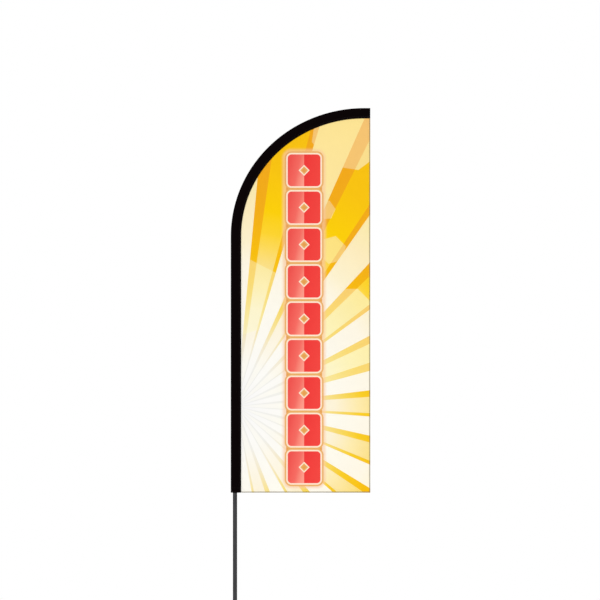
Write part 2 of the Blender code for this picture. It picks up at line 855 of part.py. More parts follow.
def build_stake():
    """The bar that goes into the soil, its ground plate and the blades that stop it turning."""
    neck_top = CUP_FLOOR - GAP
    chamfer = 0.8 * MM
    turned(
        "stake_bar",
        [
            (0.0, neck_top),
            (NECK_RADIUS - chamfer, neck_top),
            (NECK_RADIUS, neck_top - chamfer),
            (NECK_RADIUS, PLATE_THICKNESS),
            (STAKE_RADIUS, PLATE_THICKNESS),
            (STAKE_RADIUS, POINT_LENGTH - STAKE_DEPTH),
            (1.5 * MM, 2.0 * MM - STAKE_DEPTH),
            (0.0, -STAKE_DEPTH),
        ],
        PLATED_STEEL,
        ring=False,
    )
    turned(
        "ground_plate",
        [
            (STAKE_RADIUS + GAP, PLATE_THICKNESS),
            (PLATE_RADIUS - 1.0 * MM, PLATE_THICKNESS),
            (PLATE_RADIUS, PLATE_THICKNESS - 1.0 * MM),
            (PLATE_RADIUS, 0.0),
            (STAKE_RADIUS + GAP, 0.0),
        ],
        PLATED_STEEL,
    )
    inner = STAKE_RADIUS + GAP
    tip_width = 6.0 * MM
    outline = [
        (inner, -GAP),
        (BLADE_REACH, -GAP),
        (BLADE_REACH, -BLADE_STRAIGHT),
        (inner + tip_width, -BLADE_DEPTH),
        (inner, -BLADE_DEPTH),
    ]
    for number in range(BLADE_COUNT):
        turn = 2 * math.pi * (number + 0.5) / BLADE_COUNT
        plate(
            f"stake_blade_{number + 1}",
            outline,
            BLADE_THICKNESS,
            PLATED_STEEL,
            rotation=(math.pi / 2, 0.0, turn),
        )


# ---------------------------------------------------------------- assembly


def build():
    build_stake()
    build_bearing_cup()
    build_bearing_races()
    build_retaining_ring()
    build_balls_and_cage()

    build_spindle()
    build_spindle_nut()
    build_seal_rings()
    build_dust_cap()

    lower_tube = build_foot_and_lower_tube()
    middle_tube = build_middle_tube()
    build_collar("pole_lower_collar", LOWER_RADIUS, LOWER_TOP)
    build_collar("pole_upper_collar", MIDDLE_RADIUS, MIDDLE_TOP)
    build_stop_plug("lower_stop_plug", LOWER_RADIUS - TUBE_WALL, LOWER_TOP - OVERLAP - GAP)
    build_stop_plug("upper_stop_plug", MIDDLE_RADIUS - TUBE_WALL, MIDDLE_TOP - OVERLAP - GAP)
    line = rod_line()
    build_rod(line)
    build_rod_ferrule()
    build_tip_cap(line)
    build_lock_button(lower_tube, middle_tube)

    build_sleeve()
    build_mouth_band()
    build_tip_pocket(line)
    build_panel()
    build_hems()
    build_straps()


build()
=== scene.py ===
"""Looks of the feather flag: cloth, sleeve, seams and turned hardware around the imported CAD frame."""

import math

import bmesh
import bpy
import numpy as np
from mathutils import Matrix, Vector, noise


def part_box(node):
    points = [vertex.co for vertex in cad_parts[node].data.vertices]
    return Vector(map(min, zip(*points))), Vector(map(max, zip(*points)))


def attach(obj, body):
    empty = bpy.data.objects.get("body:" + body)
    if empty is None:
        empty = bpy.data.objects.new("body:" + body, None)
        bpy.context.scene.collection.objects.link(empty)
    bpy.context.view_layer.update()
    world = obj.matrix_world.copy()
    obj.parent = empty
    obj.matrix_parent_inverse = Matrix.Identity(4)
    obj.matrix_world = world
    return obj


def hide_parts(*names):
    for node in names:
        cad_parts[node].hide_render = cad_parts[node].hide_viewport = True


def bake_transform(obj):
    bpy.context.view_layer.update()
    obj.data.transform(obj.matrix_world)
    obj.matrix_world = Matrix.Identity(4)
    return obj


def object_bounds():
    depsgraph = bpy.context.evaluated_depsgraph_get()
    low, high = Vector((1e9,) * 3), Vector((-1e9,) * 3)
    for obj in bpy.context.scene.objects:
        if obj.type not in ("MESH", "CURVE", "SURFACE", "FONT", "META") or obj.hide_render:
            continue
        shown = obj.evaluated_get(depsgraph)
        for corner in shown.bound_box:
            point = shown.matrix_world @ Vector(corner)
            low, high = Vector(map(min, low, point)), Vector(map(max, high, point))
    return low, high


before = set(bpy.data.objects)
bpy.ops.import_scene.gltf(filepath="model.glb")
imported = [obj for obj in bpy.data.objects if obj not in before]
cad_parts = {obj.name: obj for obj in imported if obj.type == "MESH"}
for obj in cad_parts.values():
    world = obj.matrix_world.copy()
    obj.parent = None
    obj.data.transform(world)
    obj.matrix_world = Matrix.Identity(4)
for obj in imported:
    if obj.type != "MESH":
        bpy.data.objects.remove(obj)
cad_low, cad_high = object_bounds()

MM = 0.001

# ---------------------------------------------------------------- sizes, from the frame and its design

SLEEVE_LOW, SLEEVE_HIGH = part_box("pole_sleeve")
LEFT, RIGHT = SLEEVE_LOW.x, SLEEVE_HIGH.x
BOTTOM, TOP = SLEEVE_LOW.z, SLEEVE_HIGH.z
ARC_REACH = 0.608
ARC_RISE = 0.583
ARC_START = TOP - ARC_RISE
SLEEVE_WIDTH = 47 * MM
SLEEVE_WALL = 0.7 * MM
SLEEVE_TUCK = 8 * MM
SLOT = 0.9 * MM
BULGE_FOOT = 14.5 * MM
BULGE_TIP = 9.0 * MM
POLE_INSET = 19.3 * MM
TIP_INSET = 12.0 * MM
END_SEAM = 26 * MM
CLOTH_HALF = 0.22 * MM
HEM_LIFT = CLOTH_HALF + 0.5 * MM  # from the panel's middle out to the hem's face
HEM_WIDTH = 5 * MM
STITCH_LENGTH = 2.4 * MM
STITCH_PITCH = 3.2 * MM

# Hard parts are in millimetres, as (radius, height) profiles.
LOWER_RADIUS = 9.525
MIDDLE_RADIUS = 8.0
TUBE_WALL = 1.2
LOWER_END = 980  # the heights of the tubes' upper ends
MIDDLE_END = 1820
ROD_FOOT = 4.75
ROD_TIP = 3.0
ROD_END = 88.4  # degrees of the bend
ROD_SIDES = 28
OVERLAP = 0.100
MIDDLE_TOP = 1.820
BUTTON_PLACE = (0.0, 0.0, 0.930)
BUTTON_RADIUS = 3.0
BUTTON_BACK = 4.0  # from the pole's middle to the button's inner end


# ---------------------------------------------------------------- node graphs


def linear(red, green, blue):
    """A colour given as 0 to 255 in sRGB, as the linear colour of a shader."""

    def channel(value):
        value /= 255
        return value / 12.92 if value <= 0.04045 else ((value + 0.055) / 1.055) ** 2.4

    return (channel(red), channel(green), channel(blue), 1.0)


class Value:
    """A number that a node gives out. Arithmetic with it adds nodes to its graph."""

    def __init__(self, graph, socket):
        self.graph = graph
        self.socket = socket

    def __add__(self, other):
        return self.graph.math("ADD", self, other)

    def __sub__(self, other):
        return self.graph.math("SUBTRACT", self, other)

    def __rsub__(self, other):
        return self.graph.math("SUBTRACT", other, self)

    def __mul__(self, other):
        return self.graph.math("MULTIPLY", self, other)

    def __truediv__(self, other):
        return self.graph.math("DIVIDE", self, other)

    def __abs__(self):
        return self.graph.math("ABSOLUTE", self)

    def clamped(self):
        """The same, kept from 0 to 1."""
        return self.graph.math("ADD", self, 0.0, clamp=True)


class Graph:
    """A material's nodes, built an expression at a time. Its methods return numbers, colours or vectors."""

    def __init__(self, name):
        self.material = bpy.data.materials.new(name)
        self.material.use_nodes = True
        self.nodes = self.material.node_tree.nodes
        self.links = self.material.node_tree.links
        self.shader = self.nodes["Principled BSDF"]

    def put(self, socket, value):
        value = value.socket if isinstance(value, Value) else value
        if isinstance(value, bpy.types.NodeSocket):
            self.links.new(value, socket)
        else:
            socket.default_value = value

    def math(self, operation, *values, clamp=False):
        node = self.nodes.new("ShaderNodeMath")
        node.operation = operation
        node.use_clamp = clamp
        for socket, value in zip(node.inputs, values):
            self.put(socket, value)
        return Value(self, node.outputs[0])

    def length(self, x, y):
        """The length of (x, y)."""
        return self.math("SQRT", x * x + y * y)

    def mix(self, share, first, second, blend="MIX"):
        node = self.nodes.new("ShaderNodeMix")
        node.data_type = "RGBA"
        node.blend_type = blend
        self.put(node.inputs["Factor"], share)
        self.put(node.inputs["A"], first)
        self.put(node.inputs["B"], second)
        return node.outputs["Result"]

    def ramp(self, value, stops):
        node = self.nodes.new("ShaderNodeValToRGB")
        elements = node.color_ramp.elements
        elements[0].position, elements[0].color = stops[0]
        elements[1].position, elements[1].color = stops[-1]
        for position, colour in stops[1:-1]:
            elements.new(position).color = colour
        self.put(node.inputs["Fac"], value)
        return node.outputs["Color"]

    def step(self, value, low, high):
        """0 below low, 1 above high, and smooth between."""
        node = self.nodes.new("ShaderNodeMapRange")
        node.interpolation_type = "SMOOTHSTEP"
        for name, number in (("Value", value), ("From Min", low), ("From Max", high)):
            self.put(node.inputs[name], number)
        return Value(self, node.outputs["Result"])

    def place(self, scale=(1, 1, 1), turn=(0, 0, 0)):
        """The object's own coordinates, scaled and turned."""
        coordinates = self.nodes.new("ShaderNodeTexCoord")
        mapping = self.nodes.new("ShaderNodeMapping")
        mapping.inputs["Scale"].default_value = scale
        mapping.inputs["Rotation"].default_value = turn
        self.links.new(coordinates.outputs["Object"], mapping.inputs["Vector"])
        return mapping.outputs["Vector"]

    def flat(self, name):
        """The two numbers of a UV map, U and V."""
        uv = self.nodes.new("ShaderNodeUVMap")
        uv.uv_map = name
        split = self.nodes.new("ShaderNodeSeparateXYZ")
        self.links.new(uv.outputs["UV"], split.inputs[0])
        return Value(self, split.outputs[0]), Value(self, split.outputs[1])

    def noise(self, scale, detail=2.0, vector=None, roughness=0.5):
        node = self.nodes.new("ShaderNodeTexNoise")
        node.inputs["Scale"].default_value = scale
        node.inputs["Detail"].default_value = detail
        node.inputs["Roughness"].default_value = roughness
        self.links.new(vector or self.place(), node.inputs["Vector"])
        return Value(self, node.outputs["Fac"])

    def threads(self, u, v, pitch):
        """Height of a plain weave of that pitch in metres: over and under, in both directions."""
        across, along = (self.math("SINE", place * (2 * math.pi / pitch)) for place in (u, v))
        return across * along * 0.5 + 0.5

    def bump(self, height, strength, distance):
        node = self.nodes.new("ShaderNodeBump")
        node.inputs["Strength"].default_value = strength
        node.inputs["Distance"].default_value = distance
        self.put(node.inputs["Height"], height)
        self.links.new(node.outputs["Normal"], self.shader.inputs["Normal"])

    def set(self, **values):
        """Sets the shader's sockets, such as Base_Color or Roughness."""
        for name, value in values.items():
            self.put(self.shader.inputs[name.replace("_", " ")], value)
        return self.material


# ---------------------------------------------------------------- the print

SUN = (0.024, 0.393)  # the rays' middle, from the flag's bottom corner under the sleeve
RAY_PERIOD = 19.2  # degrees, for a wide ray, a band, a narrow ray and a gap
RAY_START = 84.9
WIDE_END = 0.145  # shares of the period
BAND_END = 0.508
NARROW_END = 0.584
PRINT_REACH = 1.5  # metres over which the tones run
TILE_COUNT = 9
TILE_LEFT, TILE_RIGHT = 0.2595, 0.4085
TILE_LOW, TILE_HIGH = 0.043, 1.540
TILE_GAP = 24 * MM
TILE_CORNER = 17 * MM
TILE_MARK = 25 * MM  # from the middle of a tile to a corner of its diamond
CREAM_LINE = 7 * MM
ORANGE_LINE = 14 * MM
GLOW = 34 * MM

RAY_TONES = (
    (0.0, (242, 242, 242)),
    (0.133, (242, 241, 235)),
    (0.20, (245, 235, 208)),
    (0.267, (248, 227, 150)),
    (0.333, (248, 215, 92)),
    (0.38, (249, 205, 40)),
    (0.467, (249, 191, 14)),
    (0.60, (244, 174, 26)),
    (1.0, (244, 166, 30)),
)
BAND_TONES = (
    (0.0, (249, 249, 248)),
    (0.133, (253, 251, 243)),
    (0.20, (254, 248, 232)),
    (0.30, (253, 243, 216)),
    (0.367, (254, 236, 176)),
    (0.433, (252, 225, 138)),
    (0.487, (254, 219, 92)),
    (0.533, (254, 213, 49)),
    (0.60, (253, 208, 8)),
    (0.733, (250, 197, 17)),
    (1.0, (249, 190, 20)),
)
GAP_TONES = (
    (0.0, (247, 247, 248)),
    (0.10, (253, 252, 249)),
    (0.30, (254, 251, 240)),
    (0.433, (255, 248, 230)),
    (0.50, (254, 243, 208)),
    (0.60, (254, 237, 191)),
    (0.667, (252, 236, 177)),
    (0.733, (255, 232, 160)),
    (1.0, (255, 229, 146)),
)
# The burst is a little uneven: how far its rays are turned, in degrees, between directions given in degrees.
RAY_TURN = -0.3
RAY_DRIFTS = ((74.0, 60.0, 0.85), (17.5, 15.4, -1.8), (-28.0, -48.0, 1.55))
# Pale spots of light with straight sides: middle (across, up), half width, turn of a side in degrees,
# pairs of sides, and how strongly the spot tints the rays and the bands between them.
SPOTS = (
    (0.539, 1.639, 0.163, -8.6, 4, 0.30, 0.50),
    (0.461, 1.105, 0.058, 15, 3, 0.30, 0.40),
    (0.430, 1.287, 0.042, 5, 3, 0.30, 0.40),
    (0.482, 0.694, 0.235, 0, 4, 0.30, 0.58),
    (0.074, 0.891, 0.159, -27, 4, 0.30, 0.40),
)
SPOT_COLOUR = linear(255, 250, 195)


def tones(graph, radius, stops):
    return graph.ramp(radius, [(position, linear(*colour)) for position, colour in stops])


def sunburst(graph, u, v):
    """Rays that widen from a low point beside the pole, white in the middle and golden at the top."""
    dx, dy = u - SUN[0], v - SUN[1]
    radius = graph.length(dx, dy)
    reach = radius / PRINT_REACH
    angle = graph.math("DEGREES", graph.math("ARCTAN2", dy, dx))
    turned = angle - RAY_TURN
    for start, end, drift in RAY_DRIFTS:
        turned = turned - graph.step(angle, start, end) * drift
    share = graph.math("FRACT", (RAY_START - turned) / RAY_PERIOD)
    edge = graph.math("DIVIDE", 0.0006, graph.math("MAXIMUM", radius, 0.02))

    def after(limit):
        return graph.step(share, limit - edge, edge + limit)

    rays = tones(graph, reach, RAY_TONES)
    bands = tones(graph, reach, BAND_TONES)
    for *shape, on_rays, on_bands in SPOTS:
        inside = straight_sided(graph, u, v, *shape)
        rays = graph.mix(inside * on_rays, rays, SPOT_COLOUR)
        bands = graph.mix(inside * on_bands, bands, SPOT_COLOUR)
    colour = graph.mix(after(WIDE_END), rays, bands)
    colour = graph.mix(after(BAND_END), colour, rays)
    return graph.mix(after(NARROW_END), colour, tones(graph, reach, GAP_TONES))


def straight_sided(graph, u, v, across, up, size, turn, pairs):
    """1 inside a spot and 0 outside it."""
    reach = 0.0
    for pair in range(pairs):
        a = math.radians(turn + 90 + 180 / pairs * pair)
        along = (u - across) * math.cos(a) + (v - up) * math.sin(a)
        reach = graph.math("MAXIMUM", reach, abs(along))
    return graph.step(reach, size, size - 0.003)


def box_distance(graph, u, v, middle, half, corner):
    """Distance outside a rounded box, negative inside it."""
    dx = abs(u - middle[0]) - (half[0] - corner)
    dy = abs(v - middle[1]) - (half[1] - corner)
    outside = graph.length(graph.math("MAXIMUM", dx, 0.0), graph.math("MAXIMUM", dy, 0.0))
    inside = graph.math("MINIMUM", graph.math("MAXIMUM", dx, dy), 0.0)
    return outside + inside - corner


def tile_column(graph, u, v, ground):
    """A column of rounded two-tone tiles with a cream and an orange outline, and a glow round them."""
    wide, high = TILE_RIGHT - TILE_LEFT, TILE_HIGH - TILE_LOW
    centre = TILE_LEFT + wide / 2
    pitch = (high + TILE_GAP) / TILE_COUNT
    start = TILE_LOW - TILE_GAP / 2
    index = graph.math("FLOOR", (v - start) / pitch)
    index = graph.math("MINIMUM", graph.math("MAXIMUM", index, 0.0), TILE_COUNT - 1)
    middle = (index + 0.5) * pitch + start
    tile = box_distance(graph, u, v, (centre, middle), (wide / 2, (pitch - TILE_GAP) / 2), TILE_CORNER)
    rise = v - middle
    mark = TILE_MARK - (abs(u - centre) + abs(rise))
    distance = graph.math("MAXIMUM", tile, mark)

    across = (u - TILE_LEFT) / wide
    slope = across - rise * 1.6
    coral = tones(graph, slope, ((0.0, (240, 84, 80)), (0.3, (246, 108, 98)), (0.55, (255, 158, 140))))
    red = tones(graph, slope, ((0.4, (240, 58, 58)), (1.0, (244, 72, 66))))
    fill = graph.mix(graph.step(across, 0.498, 0.502), coral, red)

    column = box_distance(graph, u, v, (centre, TILE_LOW + high / 2), (wide / 2, high / 2), TILE_CORNER)
    glow = graph.math("POWER", graph.step(column, GLOW, ORANGE_LINE), 1.3)
    colour = graph.mix(glow * 0.62, ground, linear(250, 200, 160))
    behind = graph.step(column, CREAM_LINE + 0.001, CREAM_LINE - 0.001)
    colour = graph.mix(behind, colour, linear(232, 160, 84))
    soft = 0.0007
    for line, tone in ((ORANGE_LINE, linear(236, 176, 104)), (CREAM_LINE, linear(255, 232, 208)), (0.0, fill)):
        colour = graph.mix(graph.step(distance, line + soft, line - soft), colour, tone)
    return colour


def printed_cloth(name, shade=1.0):
    """Thin knitted polyester with the print, in metres across and up the flag on its UV map. A shade below 1
    darkens the print towards grey-brown as painted shade, for the shadow along a folded hem's edge.
    """
    graph = Graph(name)
    u, v = graph.flat("Flat")
    colour = sunburst(graph, u, v)
    colour = tile_column(graph, u, v, colour)
    ink = graph.noise(140.0, 3.0)
    colour = graph.mix(ink * 0.05, colour, linear(236, 226, 204), "MULTIPLY")
    # Painted shade: the print darkened towards grey-brown, standing in for the shadow along a folded hem's
    # edge.
    if shade < 1.0:
        colour = graph.mix(1.0 - shade, colour, linear(96, 84, 60))
    knit = graph.threads(u, v, 0.9 * MM)
    uneven = graph.noise(22.0, 4.0)
    roughness = uneven * 0.12 + 0.70
    graph.bump(uneven * 0.5 + knit, 0.35, 0.12 * MM)
    return graph.set(
        Base_Color=colour, Roughness=roughness, Specular_IOR_Level=0.02, Sheen_Weight=0.01, Sheen_Roughness=0.6
    )


# ---------------------------------------------------------------- the other finishes


def woven(name, dark, light, pitch, sheen=0.12):
    """A close plain weave between two tones, on the piece's UV map."""
    graph = Graph(name)
    u, v = graph.flat("Flat")
    weave = graph.threads(u, v, pitch)
    lint = graph.noise(900.0, 2.0)
    cloud = graph.noise(9.0, 3.0)
    share = (lint * 0.45 + weave * 0.35).clamped() + cloud * 0.25
    colour = graph.mix(share.clamped(), dark, light)
    graph.bump(lint * 0.3 + weave, 0.6, pitch * 0.25)
    roughness = cloud * 0.15 + 0.78
    return graph.set(
        Base_Color=colour, Roughness=roughness, Specular_IOR_Level=0.03, Sheen_Weight=sheen, Sheen_Roughness=0.5
    )


def ribbed_tape(name, dark, light, pitch):
    """Nylon webbing: slanted ribs that meet along its middle."""
    graph = Graph(name)
    u, v = graph.flat("Flat")
    slant = abs(u) * 0.8 + v
    ribs = graph.math("SINE", slant * (2 * math.pi / pitch)) * 0.5 + 0.5
    lint = graph.noise(700.0, 2.0)
    colour = graph.mix(lint * 0.3 + ribs * 0.6, dark, light)
    graph.bump(lint * 0.25 + ribs, 0.7, pitch * 0.2)
    return graph.set(Base_Color=colour, Roughness=0.72, Specular_IOR_Level=0.25, Sheen_Weight=0.1)


def pile(name, dark, light):
    """The short pile of a hook-and-loop strap."""
    graph = Graph(name)
    fuzz = graph.noise(1600.0, 4.0)
    tufts = graph.noise(420.0, 2.0)
    share = fuzz * 0.6 + tufts * 0.4
    graph.bump(share, 0.9, 0.5 * MM)
    return graph.set(Base_Color=graph.mix(share, dark, light), Roughness=0.95, Sheen_Weight=0.3)


def metal(name, dark, light, roughness, stretch, metallic=1.0, scale=60.0, tint=0.5, bump=0.15, edge=1.0):
    """Metal with fine marks drawn out along one axis, broad blotches and a few scratches."""
    graph = Graph(name)
    fine = graph.noise(scale, 4.0, graph.place(stretch), 0.6)
    blotch = graph.noise(26.0, 3.0)
    scratch = graph.step(graph.noise(14.0, 6.0, graph.place((40, 40, 2.5), (0.3, 0.2, 0)), 0.7), 0.66, 0.70)
    share = (blotch * tint + fine * 0.5).clamped() + scratch * 0.3
    rough = fine * 0.16 + blotch * 0.10 + (roughness - 0.08)
    graph.bump(fine - scratch * 0.4, bump, 0.05 * MM)
    colour = graph.mix(share.clamped(), dark, light)
    return graph.set(Base_Color=colour, Roughness=rough, Metallic=metallic, Specular_Tint=(edge, edge, edge, 1))


def moulded(name, dark, light, roughness, grain=900.0, bump=0.25):
    """Moulded plastic or rubber: an even colour with a fine grain and slight clouding."""
    graph = Graph(name)
    fine = graph.noise(grain, 3.0)
    cloud = graph.noise(30.0, 3.0)
    share = cloud * 0.6 + fine * 0.4
    rough = cloud * 0.14 + (roughness - 0.07)
    graph.bump(fine, bump, 0.06 * MM)
    return graph.set(Base_Color=graph.mix(share, dark, light), Roughness=rough, Specular_IOR_Level=0.35)


def soiled_zinc(name):
    """Zinc plate that is scuffed, and stained by soil from the plate down to the point."""
    graph = Graph(name)
    split = graph.nodes.new("ShaderNodeSeparateXYZ")
    graph.links.new(graph.place(), split.inputs[0])
    height = Value(graph, split.outputs[2])
    fine = graph.noise(240.0, 4.0, graph.place((1, 1, 0.25)), 0.6)
    spangle = graph.noise(70.0, 2.0)
    patch = graph.noise(34.0, 5.0, None, 0.7)
    deep = graph.step(height, -0.02, -0.40)
    soil = graph.step(deep * 0.30 + patch, 0.64, 0.92)
    zinc = graph.mix(spangle * 0.7 + fine * 0.3, linear(150, 152, 156), linear(208, 210, 212))
    colour = graph.mix(soil, zinc, linear(128, 112, 92))
    rough = (fine * 0.16 + soil * 0.45 + 0.26).clamped()
    graph.bump(soil * 0.8 + fine, 0.25, 0.12 * MM)
    return graph.set(Base_Color=colour, Roughness=rough, Metallic=1.0 - soil * 0.9)


# A finish is a material and the material slot that it belongs to.
PRINT = (printed_cloth("Printed_flag_cloth"), "printed_polyester")
# The hem's print, darkened to 0.36 by painted shade for the shadow at its folded edge.
HEM_PRINT_PAINTED_SHADE = (printed_cloth("Folded_hem_cloth_painted_shade", shade=0.36), "edge_tape")
BLACK_CLOTH = (
    woven("Black_sleeve_cloth", linear(4, 0, 1), linear(13, 6, 7), 0.8 * MM, sheen=0.0),
    "black_polyester",
)
WEBBING = (ribbed_tape("Black_nylon_webbing", linear(16, 16, 18), linear(52, 52, 56), 1.6 * MM), "webbing")
LOOP_PILE = (pile("Black_loop_pile", linear(14, 14, 15), linear(46, 46, 48)), "webbing")
BLACK_THREAD = (moulded("Black_thread", linear(12, 9, 10), linear(40, 34, 35), 0.6, 2500.0), "black_polyester")
STRAP_THREAD = (BLACK_THREAD[0], "webbing")
PALE_THREAD = (moulded("Cream_thread", linear(226, 214, 186), linear(250, 242, 222), 0.6, 2500.0), "edge_tape")
BLACK_TUBE = (
    metal(
        "Black_anodised_tube", linear(54, 54, 56), linear(88, 88, 90), 0.34, (1, 1, 0.02), 0.95, 500, edge=0.02
    ),
    "black_aluminium",
)
ZINC = (soiled_zinc("Zinc_plate_on_steel"), "plated_steel")
SPINDLE_ZINC = (
    metal("Turned_zinc", linear(166, 168, 172), linear(214, 216, 218), 0.26, (0.05, 0.05, 1), 1.0, 900.0),
    "plated_steel",
)
BEARING = (
    metal(
        "Ground_bearing_steel", linear(190, 191, 194), linear(226, 227, 230), 0.14, (1, 1, 1), 1.0, 300.0, 0.3
    ),
    "bearing_steel",
)
SPRING = (
    metal("Blued_spring_steel", linear(96, 100, 112), linear(150, 154, 162), 0.28, (1, 1, 0.1), 1.0, 400.0),
    "spring_steel",
)
BRASS = (
    metal("Pressed_cage_brass", linear(186, 150, 78), linear(220, 188, 116), 0.30, (1, 1, 1), 1.0, 300.0),
    "cage_brass",
)
ALUMINIUM = (
    metal("Turned_aluminium", linear(178, 180, 184), linear(218, 220, 222), 0.30, (0.05, 0.05, 1), 1.0, 900.0),
    "bright_aluminium",
)
ROD = (moulded("Black_fibreglass", linear(18, 18, 19), linear(40, 40, 42), 0.30, 400.0, 0.15), "fibreglass")
NYLON = (moulded("Black_moulded_nylon", linear(22, 22, 24), linear(42, 42, 45), 0.52), "nylon")
RUBBER = (moulded("Black_rubber", linear(16, 16, 16), linear(36, 35, 34), 0.80, 1200.0, 0.4), "rubber")


# ---------------------------------------------------------------- mesh helpers


def unit(vector):
    return vector / np.linalg.norm(vector)


def direction(degrees):
    """The level unit vector at an angle round Z from +X."""
    return np.array((math.cos(math.radians(degrees)), math.sin(math.radians(degrees)), 0.0))


def link_object(name, mesh):
    obj = bpy.data.objects.new(name, mesh)
    bpy.context.scene.collection.objects.link(obj)
    return obj


def mesh_piece(name, points, faces, finish, stands_for=(), body="pole", uv=None, sharp=35, closed=True):
    """A smooth-faced piece with edges where its faces meet at more than sharp degrees."""
    mesh = bpy.data.meshes.new(name)
    mesh.from_pydata([tuple(p) for p in points], [], faces)
    if uv is not None:
        layer = mesh.uv_layers.new(name="Flat")
        corner = np.zeros(len(mesh.loops), np.int64)
        mesh.loops.foreach_get("vertex_index", corner)
        layer.data.foreach_set("uv", np.asarray(uv, np.float32)[corner].ravel())
    if closed:
        shape = bmesh.new()
        shape.from_mesh(mesh)
        bmesh.ops.recalc_face_normals(shape, faces=shape.faces)
        shape.to_mesh(mesh)
        shape.free()
    return dress(name, mesh, finish, stands_for, body, sharp)


def dress(name, mesh, finish, stands_for, body, sharp):
    """A mesh as a piece for some CAD nodes. body is one body; when it is instead the two bodies and points it
    would bend between, these are not used, and the piece is left in place without a body.
    """
    material, slot = finish
    mesh.shade_smooth()
    mesh.set_sharp_from_angle(angle=math.radians(sharp))
    mesh.materials.append(material)
    obj = link_object(name, mesh)
    if stands_for:
        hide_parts(stands_for)
    if isinstance(body, str):
        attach(obj, body)
    else:
        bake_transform(obj)
    return obj


def thicken(obj, wall):
    """Gives an open sheet its wall, on the side that its faces look to."""
    shell = obj.modifiers.new("Cloth thickness", "SOLIDIFY")
    shell.thickness = wall
    shell.offset = 1.0
    apply_modifiers(obj)
    return obj


def apply_modifiers(obj):
    bpy.context.view_layer.update()
    graph = bpy.context.evaluated_depsgraph_get()
    mesh = bpy.data.meshes.new_from_object(obj.evaluated_get(graph))
    obj.modifiers.clear()
    obj.data = mesh


def grid_faces(rows, columns, close_rows=False, close_columns=False):
    """Quads between the points of a grid stored row by row."""
    faces = []
    for i in range(rows if close_rows else rows - 1):
        for j in range(columns if close_columns else columns - 1):
            k, n = (i + 1) % rows, (j + 1) % columns
            faces.append((i * columns + j, i * columns + n, k * columns + n, k * columns + j))
    return faces


def rounded(profile, radius, ring):
    """A turned profile whose corners are small arcs."""
    points = [np.array(p, float) for p in profile]
    count = len(points)
    made = []
    for i, corner in enumerate(points):
        if not ring and i in (0, count - 1):
            made.append(corner)
            continue
        before, after = points[i - 1] - corner, points[(i + 1) % count] - corner
        reach = min(radius, 0.45 * np.linalg.norm(before), 0.45 * np.linalg.norm(after))
        start = corner + before / np.linalg.norm(before) * reach
        end = corner + after / np.linalg.norm(after) * reach
        for share in (0.0, 0.5, 1.0):
            middle = (1 - share) ** 2 * start + 2 * share * (1 - share) * corner + share**2 * end
            made.append(middle)
    return made


def loft(rows, columns, closed=False):
    """Faces over rings of points stored ring by ring, with a cap at each end unless the run is closed."""
    faces = grid_faces(rows, columns, closed, True)
    if not closed:
        faces.append(tuple(reversed(range(columns))))
        faces.append(tuple((rows - 1) * columns + k for k in range(columns)))
    return faces


def circle(middle, side, out, radius, count, wide=1.0):
    """Points round a middle in the plane of two directions, drawn out by wide along the first."""
    turns = 2 * math.pi * np.arange(count) / count
    return [middle + (side * math.cos(turn) * wide + out * math.sin(turn)) * radius for turn in turns]


def lathe(
    name, profile, finish, stands_for, body="pole", ring=True, bevel=0.3, sides=96, place=None, flutes=None
):
    """A piece turned about Z from (radius, height) points in millimetres, and then placed.

    flutes is their count, their depth and the radius from which they show.
    """
    line = rounded(profile, bevel, ring)
    points, index = [], []
    for radius, height in line:
        if radius < 1e-6:
            index.append([len(points)] * sides)
            points.append((0.0, 0.0, height * MM))
            continue
        row = []
        for k in range(sides):
            turn = 2 * math.pi * k / sides
            reach = radius
            if flutes and radius > flutes[2]:
                reach -= flutes[1] * (0.5 + 0.5 * math.cos(flutes[0] * turn)) ** 3
            row.append(len(points))
            points.append((reach * MM * math.cos(turn), reach * MM * math.sin(turn), height * MM))
        index.append(row)
    if ring:
        index.append(index[0])
    faces = []
    for upper, lower in zip(index, index[1:]):
        for k in range(sides):
            n = (k + 1) % sides
            face = list(dict.fromkeys((upper[k], lower[k], lower[n], upper[n])))
            if len(face) > 2:
                faces.append(face)
    if place is not None:
        points = [tuple(place @ Vector(p)) for p in points]
    return mesh_piece(name, points, faces, finish, stands_for, body)


def cross_section(width, thickness, corner_points=4):
    """A flat tape's rounded section, as (across, out) points."""
    half, radius = width / 2, thickness / 2
    made = []
    for side, start in ((1, -90), (-1, 90)):
        for k in range(corner_points + 1):
            turn = math.radians(start + 180 * k / corner_points)
            made.append((side * (half - radius) + radius * math.cos(turn), radius * math.sin(turn)))
    return made


def tape(name, middles, side, outward, width, thickness, finish, stands_for, body="pole"):
    """A tape swept along its middle line. side is the direction of its width, and outward that of its face."""
    section = cross_section(width, thickness)
    points, uv = [], []
    run = 0.0
    for i, (middle, out) in enumerate(zip(middles, outward)):
        if i:
            run += np.linalg.norm(np.subtract(middle, middles[i - 1]))
        for a, b in section:
            points.append(np.asarray(middle) + np.asarray(side) * a + np.asarray(out) * b)
            uv.append((a, run))
    faces = loft(len(middles), len(section))
    return mesh_piece(name, points, faces, finish, stands_for, body, uv, sharp=60)


class Gathered:
    """Many small swept shapes, gathered into one piece."""

    def __init__(self):
        self.points = []
        self.faces = []

    def add(self, rings, closed=False):
        """One shape, from its rings of points."""
        first = len(self.points)
        for ring in rings:
            self.points.extend(ring)
        for face in loft(len(rings), len(rings[0]), closed):
            self.faces.append(tuple(first + k for k in face))

    def piece(self, name, finish, body="pole"):
        return mesh_piece(name, self.points, self.faces, finish, (), body, sharp=self.SHARP)


